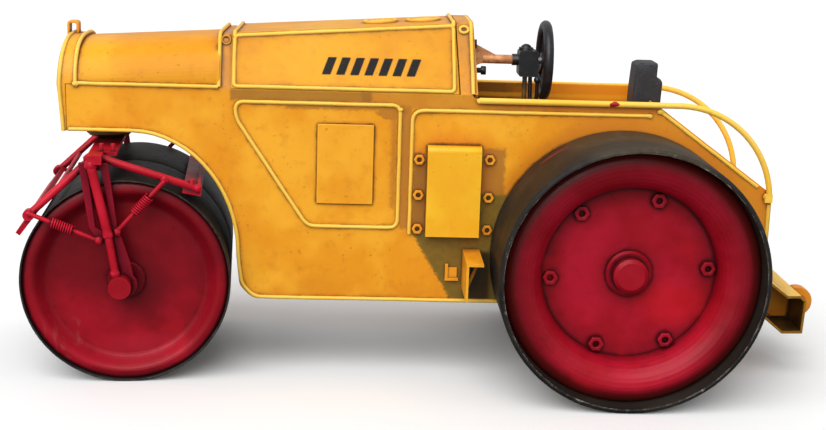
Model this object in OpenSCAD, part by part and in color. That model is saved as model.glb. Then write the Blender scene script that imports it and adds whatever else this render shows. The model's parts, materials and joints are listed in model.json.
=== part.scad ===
// Three-wheel road roller, toy model in soldered sheet metal.
// Millimetres. +Z is up, the nose points along -X, the left side is -Y.
// The origin is on the ground, under the middle of the overall length.

/* [Running gear] */
// Radius of each rear wheel over its hoop
rear_r = 52.5; // [50:0.5:54]
// Width of each rear wheel
rear_w = 41.5; // [34:0.5:42]
// Distance of the rear axle behind the origin
rear_x = 76; // [74:0.5:78]
// Radius of the front drum
front_r = 41.3; // [40:0.1:41.5]
// Half width of the whole front drum
front_half = 42.8; // [40:0.2:43]
// Distance of the front axle from the origin with the fork straight
front_x = -125.1; // [-126:0.1:-124.5]
// Place of the steering kingpin along the length
kingpin_x = -134.5; // [-135.5:0.5:-133]
// Angle at which the fork is left turned, in degrees
steer_rest = 4.5; // [-6:0.5:6]
// Depth of the dish in a rear wheel's face
rear_dish = 17; // [14:0.5:18]
// Depth of the flat middle of a front drum's face
front_dish = 5.5; // [4:0.5:8]

/* [Body] */
// Half width of the body over its side panels
body_half = 27; // [25:0.5:27.5]
// Thickness of the sheet metal
sheet = 1; // [0.6:0.1:1.2]
// Front face of the nose
nose_x = -148; // [-150:0.5:-146]
// How far the front of the nose bulges forward half way up
nose_lean = 2.3; // [0:0.1:3]
// Length of the cowl band round the nose
cowl_len = 5.5; // [4:0.5:7]
// Height of the underside of the nose
nose_z = 99; // [98.5:0.1:100]
// Height of the line where the hoods sit on the panels
hood_z = 117.5; // [117:0.1:119]
// Height of the top edge of the cab walls
wall_z = 116; // [115:0.1:117]
// Height of the lower edge of the side panels
belly_z = 31.5; // [30:0.5:34]
// Rear face of the body
tail_x = 138; // [136:0.5:139]
// Height of the cab floor
floor_z = 91; // [88:1:95]

/* [Hoods] */
// Rear end of the front hood
front_hood_end = -86.5; // [-88:0.5:-85]
// Width of the strap between the two hoods
strap_w = 4.5; // [3:0.5:5]
// Rear end of the rear hood at its base
rear_hood_end = 9; // [8:0.5:10]
// Height of the front hood's top at the nose
nose_top_z = 134.2; // [133:0.1:137]
// Height of the hoods' top where they meet
mid_top_z = 138.6; // [137:0.1:140]
// Height of the rear hood's top at the firewall
rear_top_z = 145.1; // [144:0.1:146]
// How far each side of the rear hood leans in at its highest corner
hood_lean = 9.5; // [4:0.5:11]

/* [Steering] */
// Height of the steering column
column_z = 129; // [128:0.5:130]
// Place of the steering wheel along the length
wheel_x = 45.5; // [44:0.5:48]
// Outside radius of the steering wheel
wheel_r = 16.5; // [15:0.5:17]

/* [Fittings] */
// Diameter of the handrail tube
rail_d = 2.4; // [2:0.1:2.6]
// Radius of the handrail's bend at the rear
rail_bend = 39.5; // [38:0.5:40]
// Reach of each side step from the body
step_reach = 25; // [18:1:26]
// Half width of the rear drawbar
drawbar_half = 22; // [18:1:25]
// Radius of the hole in the towing eye
tow_hole_r = 2.5; // [2:0.1:3]

/* [Hidden] */

// Facets drawn for curved solids
$fn = 64;
yellow = [0.92, 0.66, 0.16];
gold = [0.96, 0.80, 0.32];
brown = [0.45, 0.36, 0.16];
crimson = [0.62, 0.08, 0.14];
black = [0.07, 0.07, 0.08];
copper = [0.66, 0.38, 0.22];

// Play between a shaft and its hole, and the gap between touching bodies
fit = 0.05;
gap = 0.3;
// Wheels
front_z = front_r;
rear_z = rear_r;
rear_in = body_half + 1.2;
rear_out = rear_in + rear_w;
hoop = 2;
front_hoop = 0.8;
axle_r = 3;
front_axle_r = 2.5;
half_gap = 0.4;
// Wheel arch: a quarter ellipse about a point ahead of the front axle
arch_x = -121;
arch_z = 50;
arch_a = 41.5;
arch_b = nose_z - arch_z;
arch_foot = [-78.2, 37];
belly_corner = [-73, belly_z];
// Rear slope of the body
slope_top = [89.5, wall_z - 1.5];
slope_end = [tail_x - 1, 80.5];
// Cowl
cowl_back = nose_x + cowl_len;
cowl_wall = 2;
frame_t = 1.5;
nose_back = nose_x + frame_t;
crown_line = 131.7;
// Closing plate of the cab's front, which leans back as it rises
dash_top = rear_top_z + 0.4;
dash_lean = 2.3;
function dash_x(z) =
    rear_hood_end + 7.2 - dash_lean * (z - hood_z - 1) / (dash_top - hood_z - 1);
// Flat trim strips soldered to the panels
bead_w = 1.5;
bead_t = 0.8;
// Fork
crown_z0 = 90;
crown_z1 = 93.5;
crown_half = 50;
leg_in = 44.3;
leg_t = 2;
rod_y = 48.4;
rod_r = 1.8;
foot_r = 1.5;
cap_r = 4.4;
cap_x = front_x - 1.7;
cap_out = 51.6;
king_r = 2;
// Towing eye
tow_x = 160.6;
tow_z = 27.6;
tow_r = 6.6;
tow_t = 5;
nut_m2 = 4.6;
nut_m3 = 6.3;

// ---- outline helpers -------------------------------------------------

function unit(v) = v / norm(v);
function left_of(v) = [-v[1], v[0]];

// A corner of an outline, rounded by a short curve that starts and ends r away
function corner(a, p, b, r, n = 5) =
    let (s = p + unit(a - p) * r, e = p + unit(b - p) * r)
    [for (i = [0 : n]) let (t = i / n)
        s * (1 - t) * (1 - t) + p * 2 * t * (1 - t) + e * t * t];

// An open line through the points, with its inner corners rounded
function soft_line(pts, r) =
    [pts[0], each [for (i = [1 : len(pts) - 2]) each corner(pts[i - 1], pts[i], pts[i + 1], r)],
     pts[len(pts) - 1]];

// A closed outline with all its corners rounded
function soft_loop(pts, r) =
    let (n = len(pts))
    [for (i = [0 : n - 1]) each corner(pts[(i + n - 1) % n], pts[i], pts[(i + 1) % n], r)];

// The normal of a line at point i, scaled so that a stroke keeps its width round a bend
function miter(pts, i, closed) =
    let (n = len(pts),
         before = closed ? pts[(i + n - 1) % n] : pts[max(i - 1, 0)],
         after = closed ? pts[(i + 1) % n] : pts[min(i + 1, n - 1)],
         d0 = i == 0 && !closed ? unit(after - pts[i]) : unit(pts[i] - before),
         d1 = i == n - 1 && !closed ? d0 : unit(after - pts[i]),
         m = unit(left_of(d0) + left_of(d1)))
    m / max(m * left_of(d1), 0.5);

function shifted(pts, d, closed = false) =
    [for (i = [0 : len(pts) - 1]) pts[i] + miter(pts, i, closed) * d];

// The outline of an open line drawn w wide
function stroke(pts, w) =
    let (a = shifted(pts, w / 2), b = shifted(pts, -w / 2), n = len(pts))
    [each a, each [for (i = [n - 1 : -1 : 0]) b[i]]];

// ---- solid helpers ---------------------------------------------------

// Extrudes an outline drawn in X and Z from y0 to y1
module slab(y0, y1) {
    translate([0, y1, 0])
        rotate([90, 0, 0])
            linear_extrude(y1 - y0)
                children();
}

// Extrudes an outline drawn in Y and Z from x0 to x1
module bar(x0, x1) {
    translate([x0, 0, 0])
        rotate([90, 0, 90])
            linear_extrude(x1 - x0)
                children();
}

// A round rod from point a to point b
module rod(a, b, r) {
    v = b - a;
    translate(a)
        rotate([0, acos(v[2] / norm(v)), atan2(v[1], v[0])])
            cylinder(h = norm(v), r = r);
}

// A cylinder along Y from y0 to y1 through the point x, z
module pin_y(x, z, y0, y1, r, sides = 0) {
    translate([x, y1, z])
        rotate([90, 0, 0])
            cylinder(h = y1 - y0, r = r, $fn = sides > 0 ? sides : $fn);
}

// A cylinder along X from x0 to x1 through the point y, z
module pin_x(y, z, x0, x1, r) {
    translate([x0, y, z])
        rotate([0, 90, 0])
            cylinder(h = x1 - x0, r = r);
}

// Draws the right-hand twin of a left-hand shape
module other_side() {
    mirror([0, 1, 0])
        children();
}

// A box given by its lowest and highest corners
module block(lo, hi) {
    translate(lo)
        cube(hi - lo);
}

// ---- body shell ------------------------------------------------------

function arch_line(grow = 0) =
    [for (i = [0 : 14]) let (a = 90 - 90 * i / 14)
        [arch_x + (arch_a + grow) * cos(a), arch_z + (arch_b + grow) * sin(a)]];

function lower_edge(x_from) =
    [[x_from, nose_z], each arch_line(), each corner(arch_line()[14], arch_foot, belly_corner, 2),
     each corner(arch_foot, belly_corner, [tail_x, belly_z], 3), [tail_x, belly_z]];

module panel_outline() {
    polygon([each lower_edge(nose_back),
        [tail_x, slope_end[1] - 1.5], slope_end, slope_top,
        [slope_top[0] - 2.5, wall_z], [rear_hood_end + 6, wall_z],
        [rear_hood_end + 5, hood_z], [nose_back, hood_z]]);
}

module side_panel(y0) {
    color(yellow)
        difference() {
            slab(y0, y0 + sheet)
                panel_outline();
            pin_y(rear_x, rear_z, y0 - 1, y0 + sheet + 1, axle_r);
        }
}

module side_panel_left() {
    side_panel(-body_half);
}

module side_panel_right() {
    side_panel(body_half - sheet);
}

// Outline of the arched hoods: upright sides that roll over into a broad crown
function arched(half, z0, z1, z_base) =
    [[-half, z_base],
     each [for (i = [0 : 45]) let (a = 180 - 4 * i)
        [half * sign(cos(a)) * pow(abs(cos(a)), 0.72), z0 + (z1 - z0) * pow(sin(a), 0.78)]],
     [half, z_base]];

module front_cowl() {
    top = nose_top_z + 1;
    bulge_x = nose_x - nose_lean;
    color(yellow)
        difference() {
            intersection() {
                bar(bulge_x - 1, cowl_back + 1)
                    polygon(arched(body_half, hood_z - 3, top, nose_z));
                slab(-body_half, body_half)
                    polygon([[nose_x, nose_z], [bulge_x, hood_z], [bulge_x + 0.9, crown_line],
                        [bulge_x + 0.9, top], [cowl_back, top], [cowl_back, hood_z],
                        [nose_back, hood_z], [nose_back, nose_z]]);
            }
            bar(bulge_x - 2, cowl_back + 2)
                polygon(arched(body_half - cowl_wall, hood_z - 3, top - cowl_wall, nose_z + cowl_wall));
        }
}

module radiator_grille() {
    half = body_half - cowl_wall;
    z0 = nose_z + cowl_wall;
    slats = 9;
    pitch = 3.2;
    color(brown)
        difference() {
            bar(nose_x + 0.3, nose_back)
                polygon(arched(half, hood_z - 3, nose_top_z + 1 - cowl_wall, z0));
            for (i = [0 : slats - 1])
                block([nose_x + 1, -half + 4, z0 + 2.5 + i * pitch],
                      [nose_x + 4, half - 4, z0 + 4.1 + i * pitch]);
        }
}

// A bent strip: its front foot lies on the cowl's face and its rear leg on the cowl's top
module lifting_loop() {
    t = 1;
    x0 = nose_x - nose_lean + 0.9 - t;
    x1 = nose_x + 2.2;
    z0 = nose_top_z - 1.2;
    z1 = nose_top_z + 6;
    color(yellow)
        slab(-2.6, 2.6)
            polygon([[x0, z0], each corner([x0, z0], [x0, z1], [x1, z1], 1.4),
                each corner([x0, z1], [x1, z1], [x1, z0], 1.4), [x1, nose_top_z + 1],
                [x1 - t, nose_top_z + 1],
                each corner([x1 - t, nose_top_z + 1], [x1 - t, z1 - t], [x0 + t, z1 - t], 0.6),
                each corner([x1 - t, z1 - t], [x0 + t, z1 - t], [x0 + t, z0], 0.6), [x0 + t, z0]]);
}

module front_hood() {
    step = 0.8;
    far = front_hood_end - cowl_back;
    rise = atan((mid_top_z - step - nose_top_z) / far);
    drop = 4;
    color(yellow)
        intersection() {
            translate([cowl_back, 0, hood_z])
                rotate([0, -rise, 0])
                    translate([0, 0, -hood_z])
                        difference() {
                            bar(-3, far + 3)
                                polygon(arched(body_half, hood_z - drop, nose_top_z, hood_z - 2 * drop));
                            bar(-4, far + 4)
                                polygon(arched(body_half - sheet, hood_z - drop, nose_top_z - sheet,
                                    hood_z - 3 * drop));
                        }
            block([cowl_back, -body_half, hood_z], [front_hood_end, body_half, rear_top_z]);
        }
}

// Height of the rear hood's top at a place along the length
function hood_top(x) =
    mid_top_z + (rear_top_z - mid_top_z) * (x - front_hood_end) / (rear_hood_end - front_hood_end);

// Angle at which the sides of the rear hood lean
side_tilt = atan(hood_lean / (rear_top_z - hood_z));

// Outline of the squared hood: sides that lean inwards and small top corners
function leaned(half, z0, z1, r) =
    let (in = hood_lean * (z1 - hood_z) / (rear_top_z - hood_z),
         out = hood_lean * (z0 - hood_z) / (rear_top_z - hood_z))
    [[-half + out, z0],
     each corner([-half + out, z0], [-half + in, z1], [half - in, z1], r),
     each corner([-half + in, z1], [half - in, z1], [half - out, z0], r),
     [half - out, z0]];

module rear_hood() {
    x0 = front_hood_end + strap_w;
    x1 = rear_hood_end;
    over = 2;
    color(yellow)
        difference() {
            intersection() {
                bar(x0, x1)
                    polygon(leaned(body_half, hood_z, rear_top_z + over, 0.5));
                slab(-body_half, body_half)
                    polygon([[x0, hood_z], [x1, hood_z],
                        [x1 - dash_lean, hood_top(x1 - dash_lean)], [x0, hood_top(x0)]]);
            }
            intersection() {
                bar(x0 - 1, x1 + 1)
                    polygon(leaned(body_half - sheet, hood_z - 1, rear_top_z + over, 0.5));
                slab(-body_half, body_half)
                    polygon([[x0 - 1, hood_z - 1], [x1 + 1, hood_z - 1],
                        [x1 - dash_lean + 1, hood_top(x1 - dash_lean + 1) - sheet],
                        [x0 - 1, hood_top(x0 - 1) - sheet]]);
            }
        }
}

// A band let in between the two hoods, with a small ring on each side
module hood_strap() {
    x0 = front_hood_end;
    x1 = front_hood_end + strap_w;
    inset = 0.4;
    wall = 1.2;
    ring_r = 1.7;
    ring_up = (mid_top_z - 2.6 - hood_z) / cos(side_tilt);
    color(yellow) {
        difference() {
            bar(x0, x1)
                polygon(leaned(body_half - inset, hood_z, mid_top_z - inset, 2.5));
            bar(x0 - 1, x1 + 1)
                polygon(leaned(body_half - inset - wall, hood_z - 1, mid_top_z - inset - wall, 1.5));
        }
        for (side = [0, 1])
            mirror([0, side, 0])
                translate([(x0 + x1) / 2, -body_half + inset, hood_z])
                    rotate([90 - side_tilt, 0, 0])
                        translate([0, ring_up, 0])
                            rotate_extrude()
                                translate([ring_r, 0])
                                    circle(0.5, $fn = 24);
    }
}

module hood_caps() {
    cap_h = 1;
    color(gold)
        for (cap = [[-23, 7], [-5.5, 7]])
            translate([cap[0], 0, hood_top(cap[0])])
                rotate([0, -atan((rear_top_z - mid_top_z) / (rear_hood_end - front_hood_end)), 0])
                    difference() {
                        cylinder(h = cap_h, r = cap[1]);
                        translate([0, 0, cap_h - 0.4])
                            cylinder(h = 1, r = cap[1] - 1.4);
                    }
}

// A place on the rear hood's leaning side, unrolled flat: z is measured up the slope
function on_side(x, z) = [x, (z - hood_z) / cos(side_tilt)];

// Flat strips that stand for the wires round the two hoods, laid on their sides
module hood_trim() {
    x0 = front_hood_end + strap_w + 1.4;
    x1 = rear_hood_end - 1.4;
    low = hood_z + 1;
    color(gold)
        for (side = [0, 1])
            mirror([0, side, 0]) {
                translate([0, -body_half, hood_z])
                    rotate([-side_tilt, 0, 0])
                        slab(-bead_t, 0)
                            polygon(stroke(soft_line([
                                on_side(x0, hood_top(x0) - 1.6), on_side(x0, low), on_side(x1, low),
                                on_side(x1 - 1.9, hood_top(x1) - 2.4)], 1.5), bead_w));
                block([cowl_back + 0.5, -body_half - bead_t, hood_z - 0.5],
                      [front_hood_end - 0.5, -body_half, hood_z + 1]);
            }
}

// A band over the rear end of the rear hood, with the plate that closes the cab's front
module firewall() {
    base = rear_hood_end;
    back = base + 6;
    color(yellow)
        difference() {
            intersection() {
                union() {
                    bar(base - dash_lean - 2, back + 2)
                        polygon(leaned(body_half, hood_z, dash_top, 3));
                    block([base, -body_half + sheet, floor_z], [back + 2, body_half - sheet, hood_z]);
                }
                slab(-body_half, body_half)
                    polygon([[base + gap, hood_z], [back, hood_z], [back, floor_z], [back + 1.2, floor_z],
                        [back + 1.2, hood_z + 1], [dash_x(dash_top), dash_top],
                        [base + gap - dash_lean, dash_top]]);
            }
            intersection() {
                bar(base - dash_lean - 3, back + 2)
                    polygon(leaned(body_half - sheet, hood_z - 1, dash_top - sheet, 2));
                slab(-body_half, body_half)
                    polygon([[base - 2, hood_z - 1], [back, hood_z - 1],
                        [back - dash_lean, dash_top], [base - 2 - dash_lean, dash_top]]);
            }
        }
}

module dash_knobs() {
    color(black) {
        pin_x(-5, 135.5, dash_x(135.5), 16.6, 1.9);
        pin_x(-3, 124.5, dash_x(124.5), 19, 1.1);
        pin_x(-3, 124.5, 19, 21, 1.8);
        pin_x(9, 124.5, dash_x(124.5), 18, 1.4);
        pin_x(9, 133, dash_x(133), 16, 1.4);
    }
}

module floor_plate() {
    color(brown)
        block([-20, -body_half + sheet, floor_z - sheet], [100, body_half - sheet, floor_z]);
}

// One bent sheet under the nose, round the wheel arch and along the belly
module arch_liner() {
    path = shifted([[nose_back, nose_z], each arch_line(),
        each corner(arch_line()[14], arch_foot, belly_corner, 2),
        each corner(arch_foot, belly_corner, [tail_x, belly_z], 3), [30, belly_z]], sheet / 2);
    color(brown)
        difference() {
            slab(-body_half + sheet, body_half - sheet)
                polygon(stroke(path, sheet));
            translate([kingpin_x, 0, nose_z - 1])
                cylinder(h = 4, r = king_r);
        }
}

// The sloping deck behind the seat and the upright back plate, one bent sheet
module rear_cover() {
    color(yellow)
        slab(-body_half + sheet, body_half - sheet)
            polygon(stroke([[slope_top[0] - 0.5, slope_top[1] - 0.4],
                [slope_end[0] - 0.6, slope_end[1] - 0.7], [tail_x - sheet / 2, slope_end[1] - 2.4],
                [tail_x - sheet / 2, belly_z]], sheet));
}

// ---- trim on the panels ----------------------------------------------

module edge_trim_left() {
    y0 = -body_half - bead_t;
    color(gold) {
        slab(y0, -body_half)
            polygon(stroke([each shifted([each lower_edge(nose_back)], bead_w / 2)], bead_w));
        slab(y0, -body_half)
            polygon(stroke([[slope_top[0] + 1, slope_top[1] - 2.2],
                [slope_end[0] - 5.4, slope_end[1] + 2.4]], bead_w));
        slab(y0, -body_half)
            polygon(stroke([[tail_x - 1, slope_end[1] - 4.8], [tail_x - 1, belly_z + 2]], bead_w));
    }
}

module edge_trim_right() {
    other_side()
        edge_trim_left();
}

module side_trim_left() {
    y0 = -body_half - bead_t;
    front = [[-80, 112.5], [-14.5, 112.5], [-14.5, 62.5], [-51, 62.5], [-80, 106]];
    color(gold) {
        slab(y0, -body_half)
            difference() {
                polygon(shifted(soft_loop(front, 2.8), bead_w / 2, true));
                polygon(shifted(soft_loop(front, 2.8), -bead_w / 2, true));
            }
        slab(y0, -body_half)
            polygon(stroke(soft_line([[-9.6, 60], [-9.6, 110.8], [85.5, 110.8]], 5), bead_w));
    }
}

module side_trim_right() {
    other_side()
        side_trim_left();
}

module access_plate_left() {
    color(yellow)
        block([-47.4, -body_half - 0.8, 72], [-24.8, -body_half, 104.5]);
}

module access_plate_right() {
    other_side()
        access_plate_left();
}

// A shallow box with a rolled top front edge
module toolbox_left() {
    depth = 5;
    x0 = -3.2;
    x1 = 18.4;
    z0 = 60.2;
    z1 = 97;
    roll = 2.2;
    color(yellow)
        difference() {
            block([x0, -body_half - depth, z0], [x1, -body_half, z1]);
            difference() {
                block([x0 - 1, -body_half - depth - 1, z1 - roll],
                      [x1 + 1, -body_half - depth + roll, z1 + 1]);
                pin_x(-body_half - depth + roll, z1 - roll, x0 - 2, x1 + 2, roll);
            }
        }
}

module toolbox_right() {
    other_side()
        toolbox_left();
}

module toolbox_nuts() {
    nut_h = 1.7;
    spots = [[-6.4, 91], [-6.4, 76.5], [-6.4, 62.5], [22, 91.5], [22, 76], [22, 62.5]];
    color(yellow)
        for (side = [-1, 1], p = spots)
            translate([p[0], side < 0 ? -body_half : body_half + nut_h, p[1]])
                rotate([90, 0, 0])
                    difference() {
                        cylinder(h = nut_h, r = nut_m2 / 2, $fn = 6);
                        translate([0, 0, -1])
                            cylinder(h = nut_h + 2, r = 0.95);
                    }
}

// ---- fittings on the body --------------------------------------------

// A tread with a side plate, a short outer lip and a brace back to the body
module step_left() {
    x0 = 12.4;
    x1 = 19.2;
    z1 = 54.3;
    y_out = -body_half - step_reach;
    color(yellow) {
        block([x0, y_out, z1 - 1], [x1, -body_half, z1]);
        block([x0, y_out, 39], [x0 + 1, -body_half, z1]);
        slab(y_out + 10, y_out + 12)
            polygon(stroke([[x0 + 0.5, 40], [x1 - 1, z1 - 0.5]], 1.2));
        block([5.5, -body_half - 1.2, 41], [11, -body_half, 42.2]);
        block([5.5, -body_half - 1.2, 41], [6.7, -body_half, 48]);
        block([5.5, -body_half - 0.6, 41], [10.4, -body_half, 46.5]);
    }
}

module step_right() {
    other_side()
        step_left();
}

// A tube along the wall's top edge that bends down behind the seat to the tail
module handrail_left() {
    r = rail_d / 2;
    y = -body_half - r;
    z = wall_z - 0.6;
    x_bend = 97.2;
    turn = 84;
    x_end = x_bend + rail_bend * sin(turn);
    z_end = z - rail_bend + rail_bend * cos(turn);
    color(gold) {
        pin_x(y, z, rear_hood_end + 8, x_bend, r);
        translate([x_bend, y, z - rail_bend])
            rotate([90, 0, 0])
                rotate([0, 0, 90 - turn])
                    rotate_extrude(angle = turn)
                        translate([rail_bend, 0])
                            circle(r, $fn = 32);
        block([x_end - r - 0.6, y - r, z_end - 3.2], [x_end + r, -body_half, z_end + 0.2]);
    }
}

module handrail_right() {
    other_side()
        handrail_left();
}

module steering_bracket() {
    foot = 15.7;
    tip = wheel_x - 13.5;
    color(copper) {
        slab(-1, 1)
            polygon([[foot - 0.9, column_z + 7], [foot, column_z - 3.5], [foot + 3, column_z - 2],
                [foot + 11, column_z - 1], [foot + 11, column_z + 1], [foot + 5, column_z + 4]]);
        pin_x(0, column_z, foot + 4, tip, 1.9);
    }
}

module steering_gearbox() {
    x0 = wheel_x - 11;
    x1 = wheel_x - 3;
    color(black)
        difference() {
            union() {
                pin_x(0, column_z, x0 - 2.5, x0, 2.4);
                slab(-4.5, 4.5)
                    polygon(soft_loop([[x0, column_z - 6.6], [x1, column_z - 6.6],
                        [x1, column_z + 4.2], [x0, column_z + 4.2]], 1.4));
                translate([x0 + 3.2, 0, column_z + 4])
                    cylinder(h = 1.2, r = 3);
                translate([x0 + 3.2, 0, column_z + 4.2])
                    sphere(2.5);
            }
            pin_x(0, column_z, x1 - 4, x1 + 1, 1.5 + fit);
        }
}

module steering_post() {
    x = wheel_x - 7.8;
    color(brown)
        rod([x, 0, floor_z], [x, 0, column_z - 6.6], 1);
}

module control_levers() {
    color(copper) {
        rod([wheel_x - 3.8, -7, floor_z + 1.2], [wheel_x - 3.4, -7, column_z - 8], 0.8);
        block([wheel_x - 6, -8.5, floor_z], [wheel_x - 1.5, -5.5, floor_z + 2]);
    }
    color(black) {
        rod([wheel_x - 3.5, 9, floor_z + 1.2], [wheel_x - 4.5, 9, column_z - 7], 0.9);
        block([wheel_x - 6, 7.5, floor_z], [wheel_x - 1, 10.5, floor_z + 2]);
        translate([wheel_x - 3.4, -7, column_z - 7.4])
            sphere(1.5);
    }
}

module seat_base() {
    color(yellow)
        difference() {
            block([64, -8, floor_z], [88, 8, 104]);
            block([65, -7, floor_z - 1], [87, 7, 103]);
        }
}

// A cushion and a narrow tall back with a rounded front edge and a stepped rear face
module seat() {
    half = 7;
    color(black)
        slab(-half, half)
            union() {
                polygon(soft_loop([[64.5, 104], [86, 104], [86, 109], [64.5, 109]], 1.4));
                polygon([[81.8, 104], [88, 104], [88, 115.2], [94, 115.2], [94.4, 123.2], [93.4, 124.6],
                    [91.8, 124.8], [92, 129.8], each corner([92, 129.8], [83.4, 129.8], [82.2, 118], 2.2)]);
            }
}

// Upright round eye on a web that fills the drawbar's profile, drawn whole
module tow_plate(half_t) {
    pin_y(tow_x, tow_z, -half_t, half_t, tow_r);
    slab(-half_t, half_t)
        polygon([[tail_x, 42.9], [150, 34.2], [156, 34.2], [156.6, 21], [149.6, 20.6],
            [tail_x, 29.8]]);
}

// Bent plate behind the tail, open at both ends, with a slot that the towing eye fills
module drawbar() {
    path = [[tail_x, 44], [150.3, 35], [155.6, 35.2], [157.8, 33.4], [157.2, 19.8], [149, 19.6],
        [tail_x, 28.6]];
    color(yellow)
        difference() {
            slab(-drawbar_half, drawbar_half)
                intersection() {
                    polygon(stroke(path, sheet));
                    translate([tail_x, 10])
                        square([40, 50]);
                }
            tow_plate(tow_t / 2);
        }
}

module tow_eye() {
    color([0.85, 0.5, 0.15])
        difference() {
            tow_plate(tow_t / 2);
            pin_y(tow_x + 1.2, tow_z, -tow_t, tow_t, tow_hole_r);
        }
}

module rear_axle() {
    half = rear_out - rear_dish - 1;
    color("silver")
        difference() {
            union() {
                pin_y(rear_x, rear_z, -half, half, axle_r);
                pin_y(rear_x, rear_z, -body_half + sheet, body_half - sheet, 6);
            }
            pin_y(rear_x, rear_z, -body_half + 5, body_half - 5, 1.5);
        }
}

// ---- steering wheel --------------------------------------------------

module steering_wheel() {
    rim = 2;
    spokes = 3;
    color(black)
        translate([wheel_x, 0, column_z])
            rotate([0, 90, 0])
                union() {
                    rotate_extrude()
                        translate([wheel_r - rim, 0])
                            circle(rim, $fn = 32);
                    difference() {
                        translate([0, 0, -1.5])
                            cylinder(h = 3, r = 3.2);
                        translate([0, 0, -2])
                            cylinder(h = 4, r = 1.5);
                    }
                    for (i = [0 : spokes - 1])
                        rotate([0, 0, 180 + 360 * i / spokes])
                            translate([2.8, 0, 0])
                                rotate([0, 90, 0])
                                    cylinder(h = wheel_r - rim - 3.6, r = 0.9);
                }
}

module steering_shaft() {
    color("silver")
        pin_x(0, column_z, wheel_x - 6.6, wheel_x + 1.5, 1.5);
}

// ---- fork ------------------------------------------------------------

// The pin hangs from the nose: a head above the liner and a collar below the crown
module kingpin() {
    top = nose_z + sheet;
    color(brown)
        translate([kingpin_x, 0, 0]) {
            translate([0, 0, crown_z0 - 1.6])
                cylinder(h = top - crown_z0 + 1.6, r = king_r);
            translate([0, 0, top])
                cylinder(h = 2, r = 4);
            translate([0, 0, crown_z0 - 1.6])
                cylinder(h = 1.4, r = 3.4);
        }
}

// Turns the fork and all it carries about the kingpin to its rest angle
module on_fork() {
    translate([kingpin_x, 0, 0])
        rotate([0, 0, steer_rest])
            translate([-kingpin_x, 0, 0])
                children();
}

// Draws a shape on the fork's left arm
module fork_left() {
    on_fork()
        children();
}

// Draws the same shape mirrored on the fork's right arm
module fork_right() {
    on_fork()
        other_side()
            children();
}

// One turned block under the nose, with a chamfered lower edge
module turntable() {
    r = 9.3;
    chamfer = 1.1;
    h = nose_z - gap - crown_z1;
    bore = king_r + fit;
    color([0.35, 0.2, 0.1])
        on_fork()
            translate([kingpin_x, 0, crown_z1])
                rotate_extrude()
                    polygon([[bore, 0], [r - chamfer, 0], [r, chamfer], [r, h], [bore, h]]);
}

// A bar across the fork with a thin plate behind it and a boss round the kingpin
module fork_crown() {
    x0 = kingpin_x - 4;
    plate_t = 1.5;
    plate_half = 41;
    boss_r = 5;
    pin_at = 39.5;
    color(crimson)
        on_fork()
            difference() {
                union() {
                    block([x0, -crown_half, crown_z0], [kingpin_x + 1.5, crown_half, crown_z1]);
                    block([x0, -plate_half, crown_z1 - plate_t], [kingpin_x + 6.5, plate_half, crown_z1]);
                    translate([kingpin_x, 0, crown_z0])
                        cylinder(h = crown_z1 - crown_z0, r = boss_r);
                    for (side = [-1, 1], x = [0.6, 5])
                        translate([kingpin_x + x, side * pin_at, crown_z1])
                            cylinder(h = 3, r = 0.8);
                }
                translate([kingpin_x, 0, crown_z0 - 1])
                    cylinder(h = 7, r = king_r + fit);
            }
}

// A plate with a long window, which narrows and curves to an eye round the axle
module fork_leg() {
    y0 = -leg_in - leg_t;
    eye_r = 4.8;
    outline = [[-142.2, crown_z0], [-130.9, crown_z0], [-127.7, 65], [-125.5, 58.4], [-122.8, 50],
        [-121.6, front_z + 2.2], [-128.2, front_z + 1], [-129.5, 50], [-133.3, 57.5], [-136.8, 61.5],
        [-138.5, 64.5]];
    window = [[-138.6, 87], [-133.6, 87], [-129.5, 64.5], [-133, 62.5], [-135.9, 64.5]];
    color(crimson)
        difference() {
            union() {
                slab(y0, -leg_in)
                    polygon(outline);
                pin_y(front_x, front_z, y0, -leg_in, eye_r);
            }
            slab(y0 - 1, -leg_in + 1)
                polygon(window);
            pin_y(front_x, front_z, y0 - 1, -leg_in + 1, front_axle_r);
        }
}

module fork_leg_left() {
    fork_left()
        fork_leg();
}

module fork_leg_right() {
    fork_right()
        fork_leg();
}

// Round stays outside the leg plates, bent once between the crown and the axle's ends
module fork_stays() {
    bend = [-131.1, 62];
    foot = [cap_x - 1.4, front_z + 3.6];
    color(crimson)
        on_fork()
            for (side = [-1, 1]) {
                rod([kingpin_x - 2.8, side * rod_y, crown_z0], [bend[0], side * rod_y, bend[1]], rod_r);
                rod([bend[0], side * rod_y, bend[1]], [foot[0], side * rod_y, foot[1]], foot_r);
                translate([bend[0], side * rod_y, bend[1]])
                    sphere(rod_r);
            }
}

// The axle with the round caps soldered a little off its centre
module front_axle() {
    color(crimson)
        on_fork() {
            pin_y(front_x, front_z, -cap_out + 1, cap_out - 1, front_axle_r);
            for (side = [-1, 1])
                pin_y(cap_x, front_z, side < 0 ? -cap_out : leg_in + leg_t,
                    side < 0 ? -leg_in - leg_t : cap_out, cap_r);
        }
}

// Two rods ahead of the drum that carry a tangent blade
module front_scraper() {
    y = 44;
    top = [kingpin_x - 2.6, 91.6];
    low = [-161.5, 69];
    lug_r = 2.2;
    blade = [[-158.6, 71], [-166, 61.2]];
    blade_t = 2;
    brace = [-152, 76.8];
    color(crimson)
        on_fork() {
            for (side = [-1, 1]) {
                rod([top[0], side * y, top[1]], [low[0], side * y, low[1]], 1.5);
                pin_y(low[0], low[1], side * y - 2, side * y + 2, lug_r);
            }
            slab(-y, y)
                polygon(stroke(blade, blade_t));
            rod([brace[0], -y, brace[1]], [brace[0], y, brace[1]], 1);
        }
}

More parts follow.
